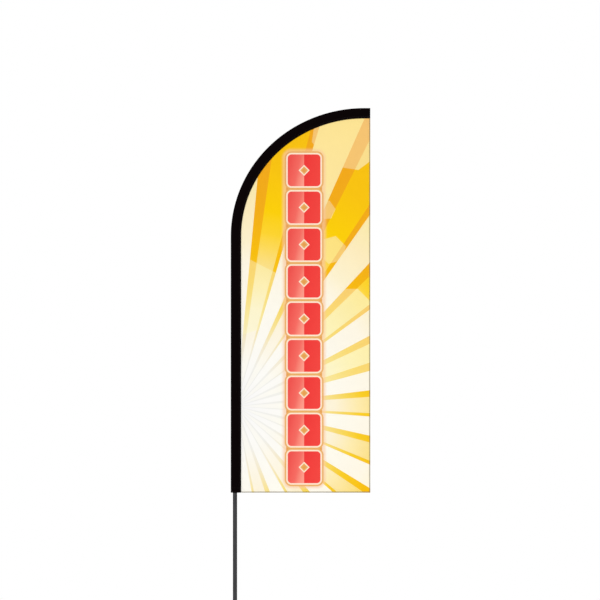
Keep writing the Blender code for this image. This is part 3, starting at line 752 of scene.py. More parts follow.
class Stitches(Gathered):
    """Rows of short thread stitches."""

    SHARP = 80
    SIDES = 6
    RINGS = ((-0.5, 0.15), (-0.38, 0.8), (0.0, 1.0), (0.38, 0.8), (0.5, 0.15))  # places along it, and widths

    def row(self, places, outward, radius=0.28 * MM):
        """Stitches end to end along a line of places on a surface, with its outward directions."""
        places, outward = np.asarray(places, float), np.asarray(outward, float)
        steps = np.linalg.norm(np.diff(places, axis=0), axis=1)
        run = np.concatenate([[0.0], np.cumsum(steps)])

        def along(values, travelled):
            return np.array([np.interp(travelled, run, values[:, k]) for k in range(3)])

        for middle in np.arange(STITCH_PITCH / 2, run[-1] - STITCH_PITCH / 4, STITCH_PITCH):
            start, end = (along(places, middle + side * STITCH_LENGTH / 2) for side in (-1, 1))
            self.stitch(start, end, along(outward, middle), radius)

    def stitch(self, start, end, out, radius):
        along = end - start
        side = unit(np.cross(along, out))
        out = unit(np.cross(side, along))
        rings = []
        for share, width in self.RINGS:
            sunk = 0.9 if abs(share) > 0.4 else 0.1
            middle = (start + end) / 2 + along * share - out * radius * sunk
            rings.append(circle(middle, side, out, radius * width, self.SIDES, wide=1.15))
        self.add(rings)


# ---------------------------------------------------------------- the flag's edge


def ease(share):
    share = np.clip(share, 0.0, 1.0)
    return share * share * (3 - 2 * share)


def bend_place(angle):
    """A place on the edge's elliptical bend, and the inward direction there."""
    place = np.array((LEFT + ARC_REACH * (1 - math.cos(angle)), 0.0, ARC_START + ARC_RISE * math.sin(angle)))
    return place, unit(np.array((math.cos(angle) / ARC_REACH, 0.0, -math.sin(angle) / ARC_RISE)))


def edge_line(step):
    """Points along the sleeve's outer edge, their inward directions, their run and their shares of the bend."""
    line = []
    straight = ARC_START - BOTTOM
    count = round(straight / step)
    for i in range(count):
        line.append(((LEFT, 0.0, BOTTOM + straight * i / count), (1.0, 0.0, 0.0), 0.0))
    count = round(math.pi / 2 * (ARC_REACH + ARC_RISE) / 2 / step)
    for i in range(count + 1):
        line.append((*bend_place(math.pi / 2 * i / count), i / count))
    end = RIGHT - LEFT - ARC_REACH
    count = max(2, round(end / step))
    for i in range(1, count + 1):
        line.append(((LEFT + ARC_REACH + end * i / count, 0.0, TOP), (0.0, 0.0, -1.0), 1.0))
    places, inward, share = map(np.array, zip(*line))
    run = np.concatenate([[0.0], np.cumsum(np.linalg.norm(np.diff(places, axis=0), axis=1))])
    return places, inward, run, share


SLEEVE_STEP = 7 * MM
SLEEVE_LENGTH = edge_line(SLEEVE_STEP)[2][-1]


def soft_noise(x, y, z=0.0):
    return noise.noise(Vector((x, y, z)))


# ---------------------------------------------------------------- the sleeve


SECTION = 22  # points of its section from the fold to the seam, on each side


def pole_inset(share):
    """How far the pole's middle stands in from the sleeve's edge, at a share of the bend."""
    return POLE_INSET + (TIP_INSET - POLE_INSET) * ease(share)


def sleeve_half(across, share, run):
    """Half the sleeve's inner thickness at a share of its width, as the CAD sleeve has it."""
    closing = ease((SLEEVE_LENGTH - run) / END_SEAM)
    bulge = BULGE_FOOT + (BULGE_TIP - BULGE_FOOT) * run / SLEEVE_LENGTH
    bulge = SLOT + (bulge - SLOT) * closing
    peak = math.log(0.5) / math.log(pole_inset(share) / SLEEVE_WIDTH)
    swell = max(0.0, math.sin(math.pi * across**peak)) ** 0.7
    return SLOT * math.sqrt(across) + (bulge - SLOT) * swell


def sleeve_pucker(run, across, side, share):
    """How far the loose cloth stands in or out: drag lines, and gathers on the bend's short side."""
    middle = math.sin(math.pi * min(1.0, across / 0.92)) ** 1.2
    drag = soft_noise(run * 9.0, across * 2.2 + side * 7.3, 1.5)
    fine = soft_noise(run * 34.0 + across * 3.0, across * 4.0 - side * 5.1, 8.2)
    gather = 0.0
    if 0.0 < share < 1.0:
        bite = math.sin(math.pi * share) * ease((across - 0.55) / 0.35) * (1 - ease((across - 0.93) / 0.07))
        gather = bite * math.sin(run * 2 * math.pi / 0.023 + 3 * drag)
    return (1.1 * drag + 0.45 * fine) * middle * MM + 0.35 * gather * MM


def loose_half(across, share, run, side):
    """Half the inner thickness of the sleeve with its puckers, which die out towards its flat end."""
    pucker = sleeve_pucker(run, across, side, share) * ease((SLEEVE_LENGTH - run) / END_SEAM)
    return sleeve_half(across, share, run) + pucker


def depth_at(across):
    """How far in from the sleeve's outer edge a share of its width is."""
    return SLEEVE_WALL + across * (SLEEVE_WIDTH - SLEEVE_WALL)


def build_sleeve():
    """The black pocket with its open mouth, its slot for the panel and its flat end."""
    places, inward, run, share = edge_line(SLEEVE_STEP)
    points, uv = [], []
    for place, into, travelled, bend in zip(places, inward, run, share):
        for i in range(-SECTION, SECTION + 1):
            side = (i > 0) - (i < 0)
            across = (abs(i) / SECTION) ** 1.5
            half = max(loose_half(across, bend, travelled, side), SLOT * math.sqrt(across))
            points.append(place + into * depth_at(across) + np.array((0.0, side * half, 0.0)))
            uv.append((side * across * SLEEVE_WIDTH, travelled))
    faces = [tuple(reversed(face)) for face in grid_faces(len(places), 2 * SECTION + 1)]
    obj = mesh_piece("sleeve_cloth", points, faces, BLACK_CLOTH, "pole_sleeve", uv=uv, sharp=80, closed=False)
    return thicken(obj, SLEEVE_WALL)


def seam_line(depth, side):
    """A line on the sleeve's face at a depth from its outer edge, with its outward directions."""
    across = (depth - SLEEVE_WALL) / (SLEEVE_WIDTH - SLEEVE_WALL)
    line, outward = [], []
    for place, into, travelled, bend in zip(*edge_line(6 * MM)):
        half = loose_half(across, bend, travelled, side)
        slope = (sleeve_half(min(1.0, across + 0.02), bend, travelled) - half) / (0.02 * SLEEVE_WIDTH)
        out = unit(np.array((0.0, side, 0.0)) - into * slope * 0.8)
        spot = place + into * depth + np.array((0.0, side * half, 0.0))
        line.append(spot + out * (SLEEVE_WALL + 0.02 * MM))
        outward.append(out)
    return line, outward


def mouth_line(height, side):
    """A line round the sleeve's mouth at a height above its lower edge, with its outward directions."""
    line, outward = [], []
    for share in np.linspace(0, 1, 40):
        across = 0.02 + 0.97 * share**1.3
        half = loose_half(across, 0.0, height, side)
        slope = sleeve_half(min(1, across + 0.01), 0.0, height)
        slope -= sleeve_half(max(0.001, across - 0.01), 0.0, height)
        out = unit(np.array((-slope / (0.02 * SLEEVE_WIDTH), side, 0.0)))
        line.append(np.array((LEFT + depth_at(across), side * half, BOTTOM + height)) + out * SLEEVE_WALL)
        outward.append(out)
    return line, outward


def end_line(reach, side):
    """A line across the sleeve's flat end, at a reach back from it, with its outward directions."""
    line = []
    for across in 0.06 + 0.90 * np.linspace(0, 1, 12):
        half = sleeve_half(across, 1.0, SLEEVE_LENGTH - reach)
        line.append((RIGHT - reach, side * (half + SLEEVE_WALL), TOP - depth_at(across)))
    return line, [(0.0, side, 0.0)] * len(line)


def build_sleeve_seams():
    """Rows of stitches along each flap, round the mouth and across the end."""
    thread = Stitches()
    for rows, makes in (
        ((SLEEVE_WIDTH - 3.0 * MM, SLEEVE_WIDTH - 8.5 * MM), seam_line),
        ((3 * MM, 22 * MM), mouth_line),
        ((3 * MM, 8 * MM, 13 * MM), end_line),
    ):
        for place in rows:
            for side in (-1, 1):
                thread.row(*makes(place, side))
    thread.piece("sleeve_stitching", BLACK_THREAD)


# ---------------------------------------------------------------- the panel

PANEL_INSET = SLEEVE_WIDTH - SLEEVE_TUCK
PANEL_RIGHT = RIGHT - 0.9 * MM
PANEL_BOTTOM = BOTTOM + 0.9 * MM


def freedom(x, z):
    """0 at the sleeve's seam, where the cloth is held flat, to 1 well away from it."""
    along = np.clip((LEFT + ARC_REACH - x) / ARC_REACH, 0, None)
    up = np.clip((z - ARC_START) / ARC_RISE, 0, None)
    depth = np.where(up > 0, (1 - np.sqrt(along**2 + up**2)) * (ARC_REACH + ARC_RISE) / 2, x - LEFT)
    return ease((depth - SLEEVE_WIDTH) / 0.20)


def ripple(x, z):
    """How far the cloth stands out of its plane. The rod stretches it, so the folds are long and low."""
    across = (x - LEFT) / (RIGHT - LEFT)
    up = (z - BOTTOM) / (TOP - BOTTOM)
    fold = 3.6 * np.sin(2 * math.pi * (1.15 * up + 0.55 * across) + 0.6)
    fold += 1.9 * np.sin(2 * math.pi * (2.7 * up - 1.25 * across) + 2.1)
    fold += 0.8 * np.sin(2 * math.pi * (6.1 * up + 2.3 * across) + 0.9)
    return fold * MM * freedom(x, z) * (0.55 + 0.45 * across)


def panel_grid():
    """Points of the flat panel, by column from the sleeve to the free edge, each from bottom to top."""
    places, inward, _, _ = edge_line(9 * MM)
    bend = places[:, 2] >= ARC_START - 1e-6
    tops = places[bend] + inward[bend] * PANEL_INSET
    tops = tops[tops[:, 0] < PANEL_RIGHT]
    tops = np.vstack([tops, (PANEL_RIGHT, 0.0, TOP - PANEL_INSET)])
    rows = 200
    grid = np.zeros((len(tops), rows, 3))
    for i, top in enumerate(tops):
        grid[i, :, 0] = top[0]
        grid[i, :, 2] = np.linspace(PANEL_BOTTOM, top[2], rows)
    return grid


def surface_normals(grid):
    across = np.gradient(grid, axis=0)
    along = np.gradient(grid, axis=1)
    normal = np.cross(along, across)
    return normal / np.linalg.norm(normal, axis=2, keepdims=True)


def build_panel():
    """The printed cloth as a thin closed sheet. Returns it, with its middle surface for the hems."""
    flat = panel_grid()
    grid = flat.copy()
    grid[:, :, 1] = ripple(flat[:, :, 0], flat[:, :, 2])
    normal = surface_normals(grid)
    columns, rows, _ = grid.shape
    front = (grid + normal * CLOTH_HALF).reshape(-1, 3)
    back = (grid - normal * CLOTH_HALF).reshape(-1, 3)
    count = columns * rows
    faces = grid_faces(columns, rows)
    back_faces = [tuple(count + k for k in reversed(face)) for face in faces]
    rim = [i * rows for i in range(columns)]
    rim += [(columns - 1) * rows + j for j in range(1, rows)]
    rim += [i * rows + rows - 1 for i in reversed(range(columns - 1))]
    rim += [j for j in reversed(range(1, rows - 1))]
    edge = [(rim[k], rim[(k + 1) % len(rim)]) for k in range(len(rim))]
    sides = [(a, a + count, b + count, b) for a, b in edge]
    uv = np.stack([flat[:, :, 0] - LEFT, flat[:, :, 2] - BOTTOM], axis=2).reshape(-1, 2)
    points = np.vstack([front, back])
    faces += back_faces + sides
    obj = mesh_piece("flag_cloth", points, faces, PRINT, "flag_panel", uv=np.vstack([uv, uv]), sharp=70)
    return obj, flat, grid, normal


def hem(name, line, inside, normal, uv_line, uv_inside, stands_for):
    """A folded hem over an edge. line is the edge, inside the direction in from it, normal the cloth's own."""
    over = 0.9 * MM  # from the cloth's edge out to the fold
    gap, wall = CLOTH_HALF + 0.12 * MM, 0.38 * MM  # to the fold's inner face, and its own thickness
    width = HEM_WIDTH - over
    lip = width - 0.15 * MM
    fold = [(-over * math.cos(a), math.sin(a)) for a in np.radians(np.linspace(-90, 90, 9))]
    profile = [(depth, rise * (gap + wall)) for depth, rise in [(width, -1.0), *fold, (width, 1.0)]]
    profile += [(lip, gap), (0.0, gap), (-over + wall, 0.0), (0.0, -gap), (lip, -gap)]
    points, uv = [], []
    for place, into, out, flat_place in zip(line, inside, normal, uv_line):
        for depth, lift in profile:
            points.append(place + into * depth + out * lift)
            uv.append(flat_place + uv_inside * depth)
    return mesh_piece(name, points, loft(len(line), len(profile)), HEM_PRINT_PAINTED_SHADE, stands_for, uv=uv, sharp=50)


def resample(values, at, places):
    """Values known along a rising coordinate, at other places on it and a little beyond its ends."""
    made = np.empty((len(places), values.shape[1]))
    for k in range(values.shape[1]):
        made[:, k] = np.interp(places, at, values[:, k])
    for end, beyond in ((0, places < at[0]), (-1, places > at[-1])):
        near = 1 if end == 0 else -2
        slope = (values[end] - values[near]) / (at[end] - at[near])
        made[beyond] = values[end] + (places[beyond] - at[end])[:, None] * slope
    return made


def build_hem(name, node, edge, beside, normal, at, low, high, into, thread):
    """One hem along an edge of the panel. at is the coordinate along it, and low and high the hem's ends."""
    places = np.arange(low, high, 6 * MM)
    places = np.append(places[places < high - MM], high)
    line, nearby, out = (resample(values, at, places) for values in (edge, beside, normal))
    inward = nearby - line
    inward /= np.linalg.norm(inward, axis=1, keepdims=True)
    out /= np.linalg.norm(out, axis=1, keepdims=True)
    uv = np.stack([line[:, 0] - LEFT, line[:, 2] - BOTTOM], axis=1)
    for face in (-1, 1):
        rise = HEM_LIFT + 0.02 * MM
        thread.row(line + inward * (HEM_WIDTH - 1.9 * MM) + out * face * rise, out * face, radius=0.22 * MM)
    return hem(name, line, inward, out, uv, np.array(into), node)


def build_hems(flat, grid, normal):
    """The folded hems down the free edge and along the bottom, and their stitching."""
    thread = Stitches()
    clear = SLEEVE_WIDTH + 1.5 * MM
    high = grid[-1], grid[-2], normal[-1], flat[-1, :, 2], BOTTOM, TOP - clear
    wide = grid[:, 0], grid[:, 1], normal[:, 0], flat[:, 0, 0], LEFT + clear, RIGHT - HEM_WIDTH - 0.3 * MM
    side = build_hem("side_hem_fold", "side_hem", *high, (-1.0, 0.0), thread)
    bottom = build_hem("bottom_hem_fold", "bottom_hem", *wide, (0.0, 1.0), thread)
    return [side, bottom, thread.piece("hem_stitching", PALE_THREAD)]


# ---------------------------------------------------------------- bands, straps and the tip's pocket


def build_mouth_band():
    """Webbing sewn round the inside of the sleeve's mouth, open towards the panel."""
    rows, half_count = 6, 16
    points, uv = [], []
    for height in np.linspace(0.3 * MM, 15 * MM, rows):
        for i in range(-half_count, half_count + 1):
            side = (i > 0) - (i < 0)
            across = 0.035 + 0.765 * (abs(i) / half_count) ** 1.4
            half = (sleeve_half(across, 0.0, height) - 1.4 * MM) * min(1.0, abs(i) / 4)
            points.append((LEFT + depth_at(across), side * half, BOTTOM + height))
            uv.append((height, side * across * SLEEVE_WIDTH))
    faces = [tuple(reversed(face)) for face in grid_faces(rows, 2 * half_count + 1)]
    band = mesh_piece("mouth_band", points, faces, WEBBING, "sleeve_mouth_band", uv=uv, sharp=80, closed=False)
    thicken(band, 0.6 * MM)


STRAP_WIDTH = 25 * MM
STRAP_THICKNESS = 0.7 * MM
STRAP_HEIGHT = BOTTOM + 18 * MM + STRAP_WIDTH / 2


def ring_band(name, spots, finish, stands_for):
    """A strap round the pole. spots are (degrees, radius) along it."""
    outward = [direction(degrees) for degrees, _ in spots]
    middles = [out * radius + np.array((0.0, 0.0, STRAP_HEIGHT)) for out, (_, radius) in zip(outward, spots)]
    tape(name, middles, (0.0, 0.0, 1.0), outward, STRAP_WIDTH, STRAP_THICKNESS, finish, stands_for)


def build_straps():
    """The two hook-and-loop straps, which overlap behind the pole, and their stitching."""
    near = (LOWER_RADIUS + 0.75) * MM
    far = near + STRAP_THICKNESS + 0.3 * MM
    ring_band("loop_strap", [(d, near) for d in range(12, 203, 5)], LOOP_PILE, "strap_loop_side")
    hook_side = [(-d, near) for d in range(12, 136, 5)]
    hook_side += [(-135 - d, near + (far - near) * ease(d / 17)) for d in (4, 8, 12)]
    hook_side += [(-d, far) for d in range(152, 223, 5)]
    ring_band("hook_strap", hook_side, WEBBING, "strap_hook_side")
    thread = Stitches()
    surface = near + STRAP_THICKNESS / 2
    for end in (1, -1):
        outward = [direction(degrees * end) for degrees in np.linspace(15, 40, 8)]
        for rise in (-9 * MM, -6 * MM, 6 * MM, 9 * MM):
            line = [out * surface + np.array((0.0, 0.0, STRAP_HEIGHT + rise)) for out in outward]
            thread.row(line, outward, radius=0.22 * MM)
    thread.piece("strap_stitching", STRAP_THREAD)


def rod_line(step_degrees):
    """Points down the bent rod's middle from its foot, and how far along its taper each one is."""
    rings = 26  # of the bend; its straight foot takes two more
    line = [(0.0, 0.0, MIDDLE_TOP - OVERLAP), (0.0, 0.0, MIDDLE_TOP)]
    taper = [0.0, 1.0 / (rings + 2)]
    count = round(ROD_END / step_degrees)
    for i in range(count + 1):
        angle = math.radians(ROD_END) * i / count
        place, into = bend_place(angle)
        line.append(tuple(place + into * pole_inset(angle / (math.pi / 2))))
        taper.append((2 + rings * i / count) / (rings + 2))
    return np.array(line), taper


def sweep(name, line, radii, finish, stands_for):
    """A round bar of changing radius along a line in the XZ plane."""
    along = np.gradient(line, axis=0)
    side = np.array((0.0, 1.0, 0.0))
    points = []
    for place, forward, radius in zip(line, along, radii):
        points += circle(place, side, np.cross(unit(forward), side), radius, ROD_SIDES)
    mesh_piece(name, points, loft(len(line), ROD_SIDES), finish, stands_for)


def build_rod():
    line, taper = rod_line(1.0)
    radii = [(ROD_FOOT + (ROD_TIP - ROD_FOOT) * share) * MM for share in taper]
    sweep("top_rod", line, radii, ROD, "pole_top_rod")
    ferrule = tube(ROD_FOOT + 0.3, MIDDLE_RADIUS - TUBE_WALL - 0.3, 1720, 1826)
    lathe("turned_ferrule", ferrule, ALUMINIUM, "rod_ferrule")

    forward = unit(line[-1] - line[-2])
    radius, depth, dome_base = 6.0, 15.0, 1.8
    turns = np.radians(np.arange(0, 91, 6))
    dome = [(radius * math.sin(a), dome_base + radius * math.cos(a)) for a in turns]
    ribs = [(radius - 0.35 * (i % 2), -2.0 - 1.4 * i) for i in range(8)]
    bore = ROD_TIP + 0.3
    inside = [(radius, -depth), (bore, -depth), (bore, 0.3), (0.0, 0.3)]
    place = Matrix.Translation(line[-1]) @ Matrix.Rotation(math.atan2(forward[0], forward[2]), 4, "Y")
    lathe("tip_cap", dome + ribs + inside, NYLON, "rod_tip_cap", ring=False, place=place)

    start = line[-1] + forward * 2.5 * MM
    up = np.cross(forward, (0.0, 1.0, 0.0))
    half, length = 6.8 * MM, 35 * MM
    turns = np.radians(np.arange(-90, 91, 10))
    path = [(-length * (1 - i / 6), -half, 0.0, -1.0) for i in range(6)]
    path += [(half * math.cos(a), half * math.sin(a), math.cos(a), math.sin(a)) for a in turns]
    path += [(-length * (i + 1) / 6, half, 0.0, 1.0) for i in range(6)]
    middles = [start + forward * x + np.array((0.0, y, 0.0)) for x, y, _, _ in path]
    outward = [forward * x + np.array((0.0, y, 0.0)) for _, _, x, y in path]
    tape("tip_pocket_webbing", middles, up, outward, 12 * MM, 0.6 * MM, WEBBING, "tip_pocket")


# ---------------------------------------------------------------- tubes, collars and the snap button

def tube(inner, outer, low, high):
    """The closed profile of a plain tube."""
    return [(inner, high), (outer, high), (outer, low), (inner, low)]


def drill(obj, place, radius, length):
    """Cuts a round hole across a tube, from its middle out towards +X."""
    shape = bmesh.new()
    turn = Matrix.Translation(Vector(place) + Vector((length / 2, 0, 0))) @ Matrix.Rotation(math.pi / 2, 4, "Y")
    bmesh.ops.create_cone(
        shape, cap_ends=True, segments=48, radius1=radius, radius2=radius, depth=length, matrix=turn
    )
    mesh = bpy.data.meshes.new("Drill")
    shape.to_mesh(mesh)
    shape.free()
    cutter = link_object("Drill", mesh)
    hole = obj.modifiers.new("Button hole", "BOOLEAN")
    hole.operation = "DIFFERENCE"
    hole.solver = "EXACT"
    hole.object = cutter
    apply_modifiers(obj)
    bpy.data.objects.remove(cutter)


def grooves(radius, high, pitch, count):
    """The profile of fine grooves round a moulded part, from a height down."""
    return [(radius - 0.35 * (i % 2), high - pitch * i) for i in range(count)]


def build_tubes():
    """The two tubes, with the nylon parts on their ends."""
    for name, radius, low, high in (
        ("lower_tube", LOWER_RADIUS, 38.6, LOWER_END),
        ("middle_tube", MIDDLE_RADIUS, 880, MIDDLE_END),
    ):
        obj = lathe(name, tube(radius - TUBE_WALL, radius, low, high), BLACK_TUBE, f"pole_{name}")
        drill(obj, BUTTON_PLACE, (BUTTON_RADIUS + 0.3) * MM, 20 * MM)

    for name, radius, end in (
        ("lower_collar", LOWER_RADIUS, LOWER_END),
        ("upper_collar", MIDDLE_RADIUS, MIDDLE_END),
    ):
        bore, inner, outer = radius - TUBE_WALL, radius + 0.3, radius + 1.5
        top = end + 3
        collar = [(bore, top), (outer - 0.8, top), (outer, top - 0.8), *grooves(outer, top - 5, 1.2, 9)]
        collar += [(outer, top - 28), (inner, top - 28), (inner, end + 0.3), (bore, end + 0.3)]
        lathe(name, collar, NYLON, f"pole_{name}")

    bore, inner, outer = LOWER_RADIUS - TUBE_WALL, LOWER_RADIUS + 0.3, LOWER_RADIUS + 2.1
    foot = [(inner, 56.3), (inner + 1.0, 56.3), (outer, 53.3), *grooves(outer, 50, 1.5, 7)]
    foot += [(outer, 36.3), (bore, 36.3), (bore, 38.3), (inner, 38.3)]
    lathe("foot_bushing", foot, NYLON, "pole_foot_bushing")

    for name, node in (("lower_plug", "lower_stop_plug"), ("upper_plug", "upper_stop_plug")):
        low_side, high_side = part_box(node)
        reach, low, high = high_side.x / MM, low_side.z / MM, high_side.z / MM
        plug = [(0, high), (reach - 0.8, high), (reach, high - 0.8)]
        plug += [(reach, low + 0.8), (reach - 0.8, low), (0, low)]
        lathe(name, plug, NYLON, node, ring=False)


def build_button():
    """The snap button in its hole."""
    face, back = LOWER_RADIUS + 2.5, BUTTON_BACK
    flange = BUTTON_RADIUS + 0.9
    profile = [(0.0, face), (BUTTON_RADIUS * 0.5, face - 0.08), (BUTTON_RADIUS - 0.5, face - 0.45)]
    profile += [(BUTTON_RADIUS, face - 1.2), (BUTTON_RADIUS, back + 1.1), (flange, back + 1.1)]
    profile += [(flange, back), (0.0, back)]
    place = Matrix.Translation(BUTTON_PLACE) @ Matrix.Rotation(math.pi / 2, 4, "Y")
    lathe("snap_button", profile, ALUMINIUM, "lock_button", "lock_button", ring=False, sides=64, place=place)


def build_leaf_spring():
    """The bent strip behind the button, from its near leg at the button round to its far leg."""
    strip = 0.5
    near = BUTTON_BACK - 0.3 - strip / 2
    far = -(MIDDLE_RADIUS - TUBE_WALL - 0.9)
    bend, middle = (near - far) / 2, (near + far) / 2
    path = [(near, 5.0 - 7.0 * i, 1.0, 0.0) for i in range(5)]
    path += [
        (middle + bend * math.cos(a), bend * math.sin(a) - 30.0, math.cos(a), math.sin(a))
        for a in np.radians(np.arange(0, -181, -12))
    ]
    path += [(far, -23.0 + 7.0 * i, -1.0, 0.0) for i in range(5)]
    base = np.array(BUTTON_PLACE)
    middles = [base + np.array((x, 0.0, z)) * MM for x, z, _, _ in path]
    outward = [(x, 0.0, z) for _, _, x, z in path]
    fixed, moving = (tuple(base + np.array((leg, 0, 0)) * MM) for leg in (far, near))
    bends = ("pole", "lock_button", fixed, moving)
    tape("leaf_spring", middles, (0.0, 1.0, 0.0), outward, 5.0 * MM, strip * MM, SPRING, "lock_spring", bends)


# ---------------------------------------------------------------- spindle, cap, cup and stake


def build_spindle():
    """The turned pin with its two rubber rings, and the cap that covers the bearing."""
    radius = 7.7
    sides = [(0.0, 239.0), (1.2, 240.0), (radius - 3.0, 240.0), (radius - 1.0, 238.0), (radius, 235.0)]
    for height in (210, 70):
        sides += [(radius, height + 0.95), (6.4, height + 0.95), (6.4, height - 0.95), (radius, height - 0.95)]
    sides += [(radius, 32.7), (12.0, 32.7), (12.0, 29.0), (radius, 29.0), (radius, 26.3), (6.0, 26.3)]
    sides += [(6.0, 17.7), (5.0, 17.7)]
    sides += [(5.0 - 0.35 * (i % 2), 17.2 - 0.5 * i) for i in range(13)]
    sides += [(4.6, 10.3), (0.0, 10.3)]
    lathe("turned_spindle", sides, SPINDLE_ZINC, "spindle", "spindle", ring=False, bevel=0.25)
    turns = np.radians(np.arange(180, -180, -24))
    for number, height in ((1, 70), (2, 210)):
        section = [(7.35 + 0.65 * math.cos(a), height + 0.65 * math.sin(a)) for a in turns]
        lathe(f"rubber_ring_{number}", section, RUBBER, f"spindle_ring_{number}", "spindle", bevel=0.0)

    skirt, bore = 18.6, 8.0
    cap = [(bore, 36.0), (12.5, 36.0), (13.0, 35.5), (14.0, 35.5), (14.5, 36.0)]
    cap += [(17.7, 36.0), (19.6, 35.2), (20.2, 33.5), (20.2, 24.0), (skirt, 24.0), (skirt, 33.0), (bore, 33.0)]
    lathe("bearing_cap", cap, NYLON, "dust_cap", "spindle", flutes=(36, 0.45, 19.9), sides=288)


class Welds(Gathered):
    """Beads of weld, made of overlapping drops."""

    SHARP = 60
    SIDES = 10

    def bead(self, places, radius, pitch, closed=False):
        """A bead along a line of places, whose drops follow each other at that pitch."""
        places = [np.asarray(place, float) for place in places]
        run = 0.0
        rings = []
        count = len(places)
        for i, place in enumerate(places):
            behind = places[i - 1] if i or closed else place
            ahead = places[(i + 1) % count] if i + 1 < count or closed else place
            forward = unit(ahead - behind)
            run += np.linalg.norm(place - places[i - 1]) if i else 0.0
            side = unit(np.cross(forward, (0.3, 0.2, 0.93)))
            drop = 0.80 + 0.22 * abs(math.sin(math.pi * run / pitch))
            drop *= 1 + 0.12 * soft_noise(*(place * 160))
            if not closed and i in (0, count - 1):
                drop *= 0.3
            rings.append(circle(place, side, np.cross(side, forward), radius * drop, self.SIDES))
        self.add(rings, closed)


BLADES = 4
BLADE_REACH = 48.0
BLADE_DEPTH = 150.0
BLADE_STRAIGHT = 30.0
BLADE_THICKNESS = 2.5
BLADE_TIP = 6.0
STAKE_RADIUS = 8.0


def build_blade(number, corners):
    """A sheared steel blade with slightly broken edges."""
    shape = bmesh.new()
    rims = []
    for side in (-1, 1):
        rims.append([shape.verts.new((x * MM, side * BLADE_THICKNESS / 2 * MM, z * MM)) for x, z in corners])
    count = len(corners)
    shape.faces.new(rims[0])
    shape.faces.new(list(reversed(rims[1])))
    for k in range(count):
        n = (k + 1) % count
        shape.faces.new((rims[0][k], rims[1][k], rims[1][n], rims[0][n]))
    bmesh.ops.bevel(shape, geom=shape.edges[:], offset=0.35 * MM, segments=2, affect="EDGES")
    bmesh.ops.recalc_face_normals(shape, faces=shape.faces)
    turn = Matrix.Rotation(2 * math.pi * (number - 0.5) / BLADES, 4, "Z")
    bmesh.ops.transform(shape, matrix=turn, verts=shape.verts)
    mesh = bpy.data.meshes.new(f"sheared_blade_{number}")
    shape.to_mesh(mesh)
    shape.free()
    dress(mesh.name, mesh, ZINC, f"stake_blade_{number}", "stake", sharp=30)


def build_stake():
    """The pointed bar, its plate, its blades and the cup on top, with their welds."""
    bar = [(0.0, 9.7), (5.2, 9.7), (6.0, 8.9), (6.0, 4.0), (STAKE_RADIUS, 4.0), (STAKE_RADIUS, -380.0)]
    bar += [(1.5, -448.0), (0.6, -449.6), (0.0, -450.0)]
    lathe("pointed_bar", bar, ZINC, "stake_bar", "stake", ring=False, bevel=0.5)
    inner = STAKE_RADIUS + 0.3
    plate = [(inner, 4.0), (50.0, 4.0), (54.0, 4.0), (55.0, 3.0), (55.0, 0.0), (inner, 0.0)]
    lathe("round_plate", plate, ZINC, "ground_plate", "stake", bevel=0.4, sides=144)
    cup = [(14.3, 32.0), (17.2, 32.0), (18.0, 31.2), (18.0, 7.3), (21.0, 4.3), (6.3, 4.3), (6.3, 10.0)]
    cup += [(12.25, 10.0), (12.25, 17.7), (14.3, 17.7), (14.3, 26.0), (15.6, 26.0), (15.6, 27.8), (14.3, 27.8)]
    lathe("turned_cup", cup, ZINC, "bearing_cup", "stake", bevel=0.25)
    corners = [(inner, -0.3), (BLADE_REACH, -0.3), (BLADE_REACH, -BLADE_STRAIGHT)]
    corners += [(inner + BLADE_TIP, -BLADE_DEPTH), (inner, -BLADE_DEPTH)]
    for number in range(1, BLADES + 1):
        build_blade(number, corners)

    welds = Welds()
    rise = np.array((0.0, 0.0, 5.9 * MM))
    ring = [direction(degrees) * 19.6 * MM + rise for degrees in np.arange(0, 360, 1.5)]
    welds.bead(ring, 1.7 * MM, 2.2 * MM, closed=True)
    for number in range(BLADES):
        turn = Matrix.Rotation(2 * math.pi * (number + 0.5) / BLADES, 3, "Z")
        for side in (-1, 1):
            up_line = [(8.1, side * 1.9, -z) for z in np.arange(4.0, 146.0, 0.7)]
            out_line = [(x, side * 1.7, -0.9) for x in np.arange(12.0, 44.0, 0.7)]
            for line, radius in ((up_line, 1.3), (out_line, 1.1)):
                welds.bead([np.array(turn @ Vector(p)) * MM for p in line], radius * MM, 2.4 * MM)
    welds.piece("stake_welds", ZINC, "stake")


# ---------------------------------------------------------------- sealed parts, which stay as their CAD nodes

SEALED = (
    (BEARING, ("bearing_inner_race", "bearing_outer_race")),
    (BEARING, tuple(f"bearing_ball_{number}" for number in range(1, 9))),
    (BRASS, ("bearing_cage",)),
    (SPRING, ("retaining_ring",)),
    (SPINDLE_ZINC, ("spindle_nut",)),
)


def dress_sealed_parts():
    """The bearing, its nut and its ring are inside other parts. They get finishes and smooth faces."""
    for (material, _), names in SEALED:
        for name in names:
            node = bpy.data.objects[name]
            node.data.materials.clear()
            node.data.materials.append(material)
            node.data.shade_smooth()
            node.modifiers.new("Weld", "WELD").merge_threshold = 0.001 * MM
            edges = node.modifiers.new("Sharp edges", "EDGE_SPLIT")
            edges.split_angle = math.radians(35)


def declare_cloth():
    """Works out the flat panel's width and height, which are not used."""
    wide = panel_flat[-1, 0, 0] - panel_flat[0, 0, 0]
    high = panel_flat[-1, -1, 2] - panel_flat[0, 0, 2]


# ---------------------------------------------------------------- stage, light and camera


def build_stage():
    """A pale round floor under the stake's point."""
    shape = bmesh.new()
    bmesh.ops.create_circle(shape, cap_ends=True, segments=128, radius=5.0)
    mesh = bpy.data.meshes.new("Studio_floor")
    shape.to_mesh(mesh)
    shape.free()
    floor = link_object("Studio_floor", mesh)
    floor.location = (0.3, 0.0, cad_low.z - 2 * MM)
    graph = Graph("Pale_floor")
    mesh.materials.append(graph.set(Base_Color=linear(240, 240, 238), Roughness=0.9, Specular_IOR_Level=0.1))


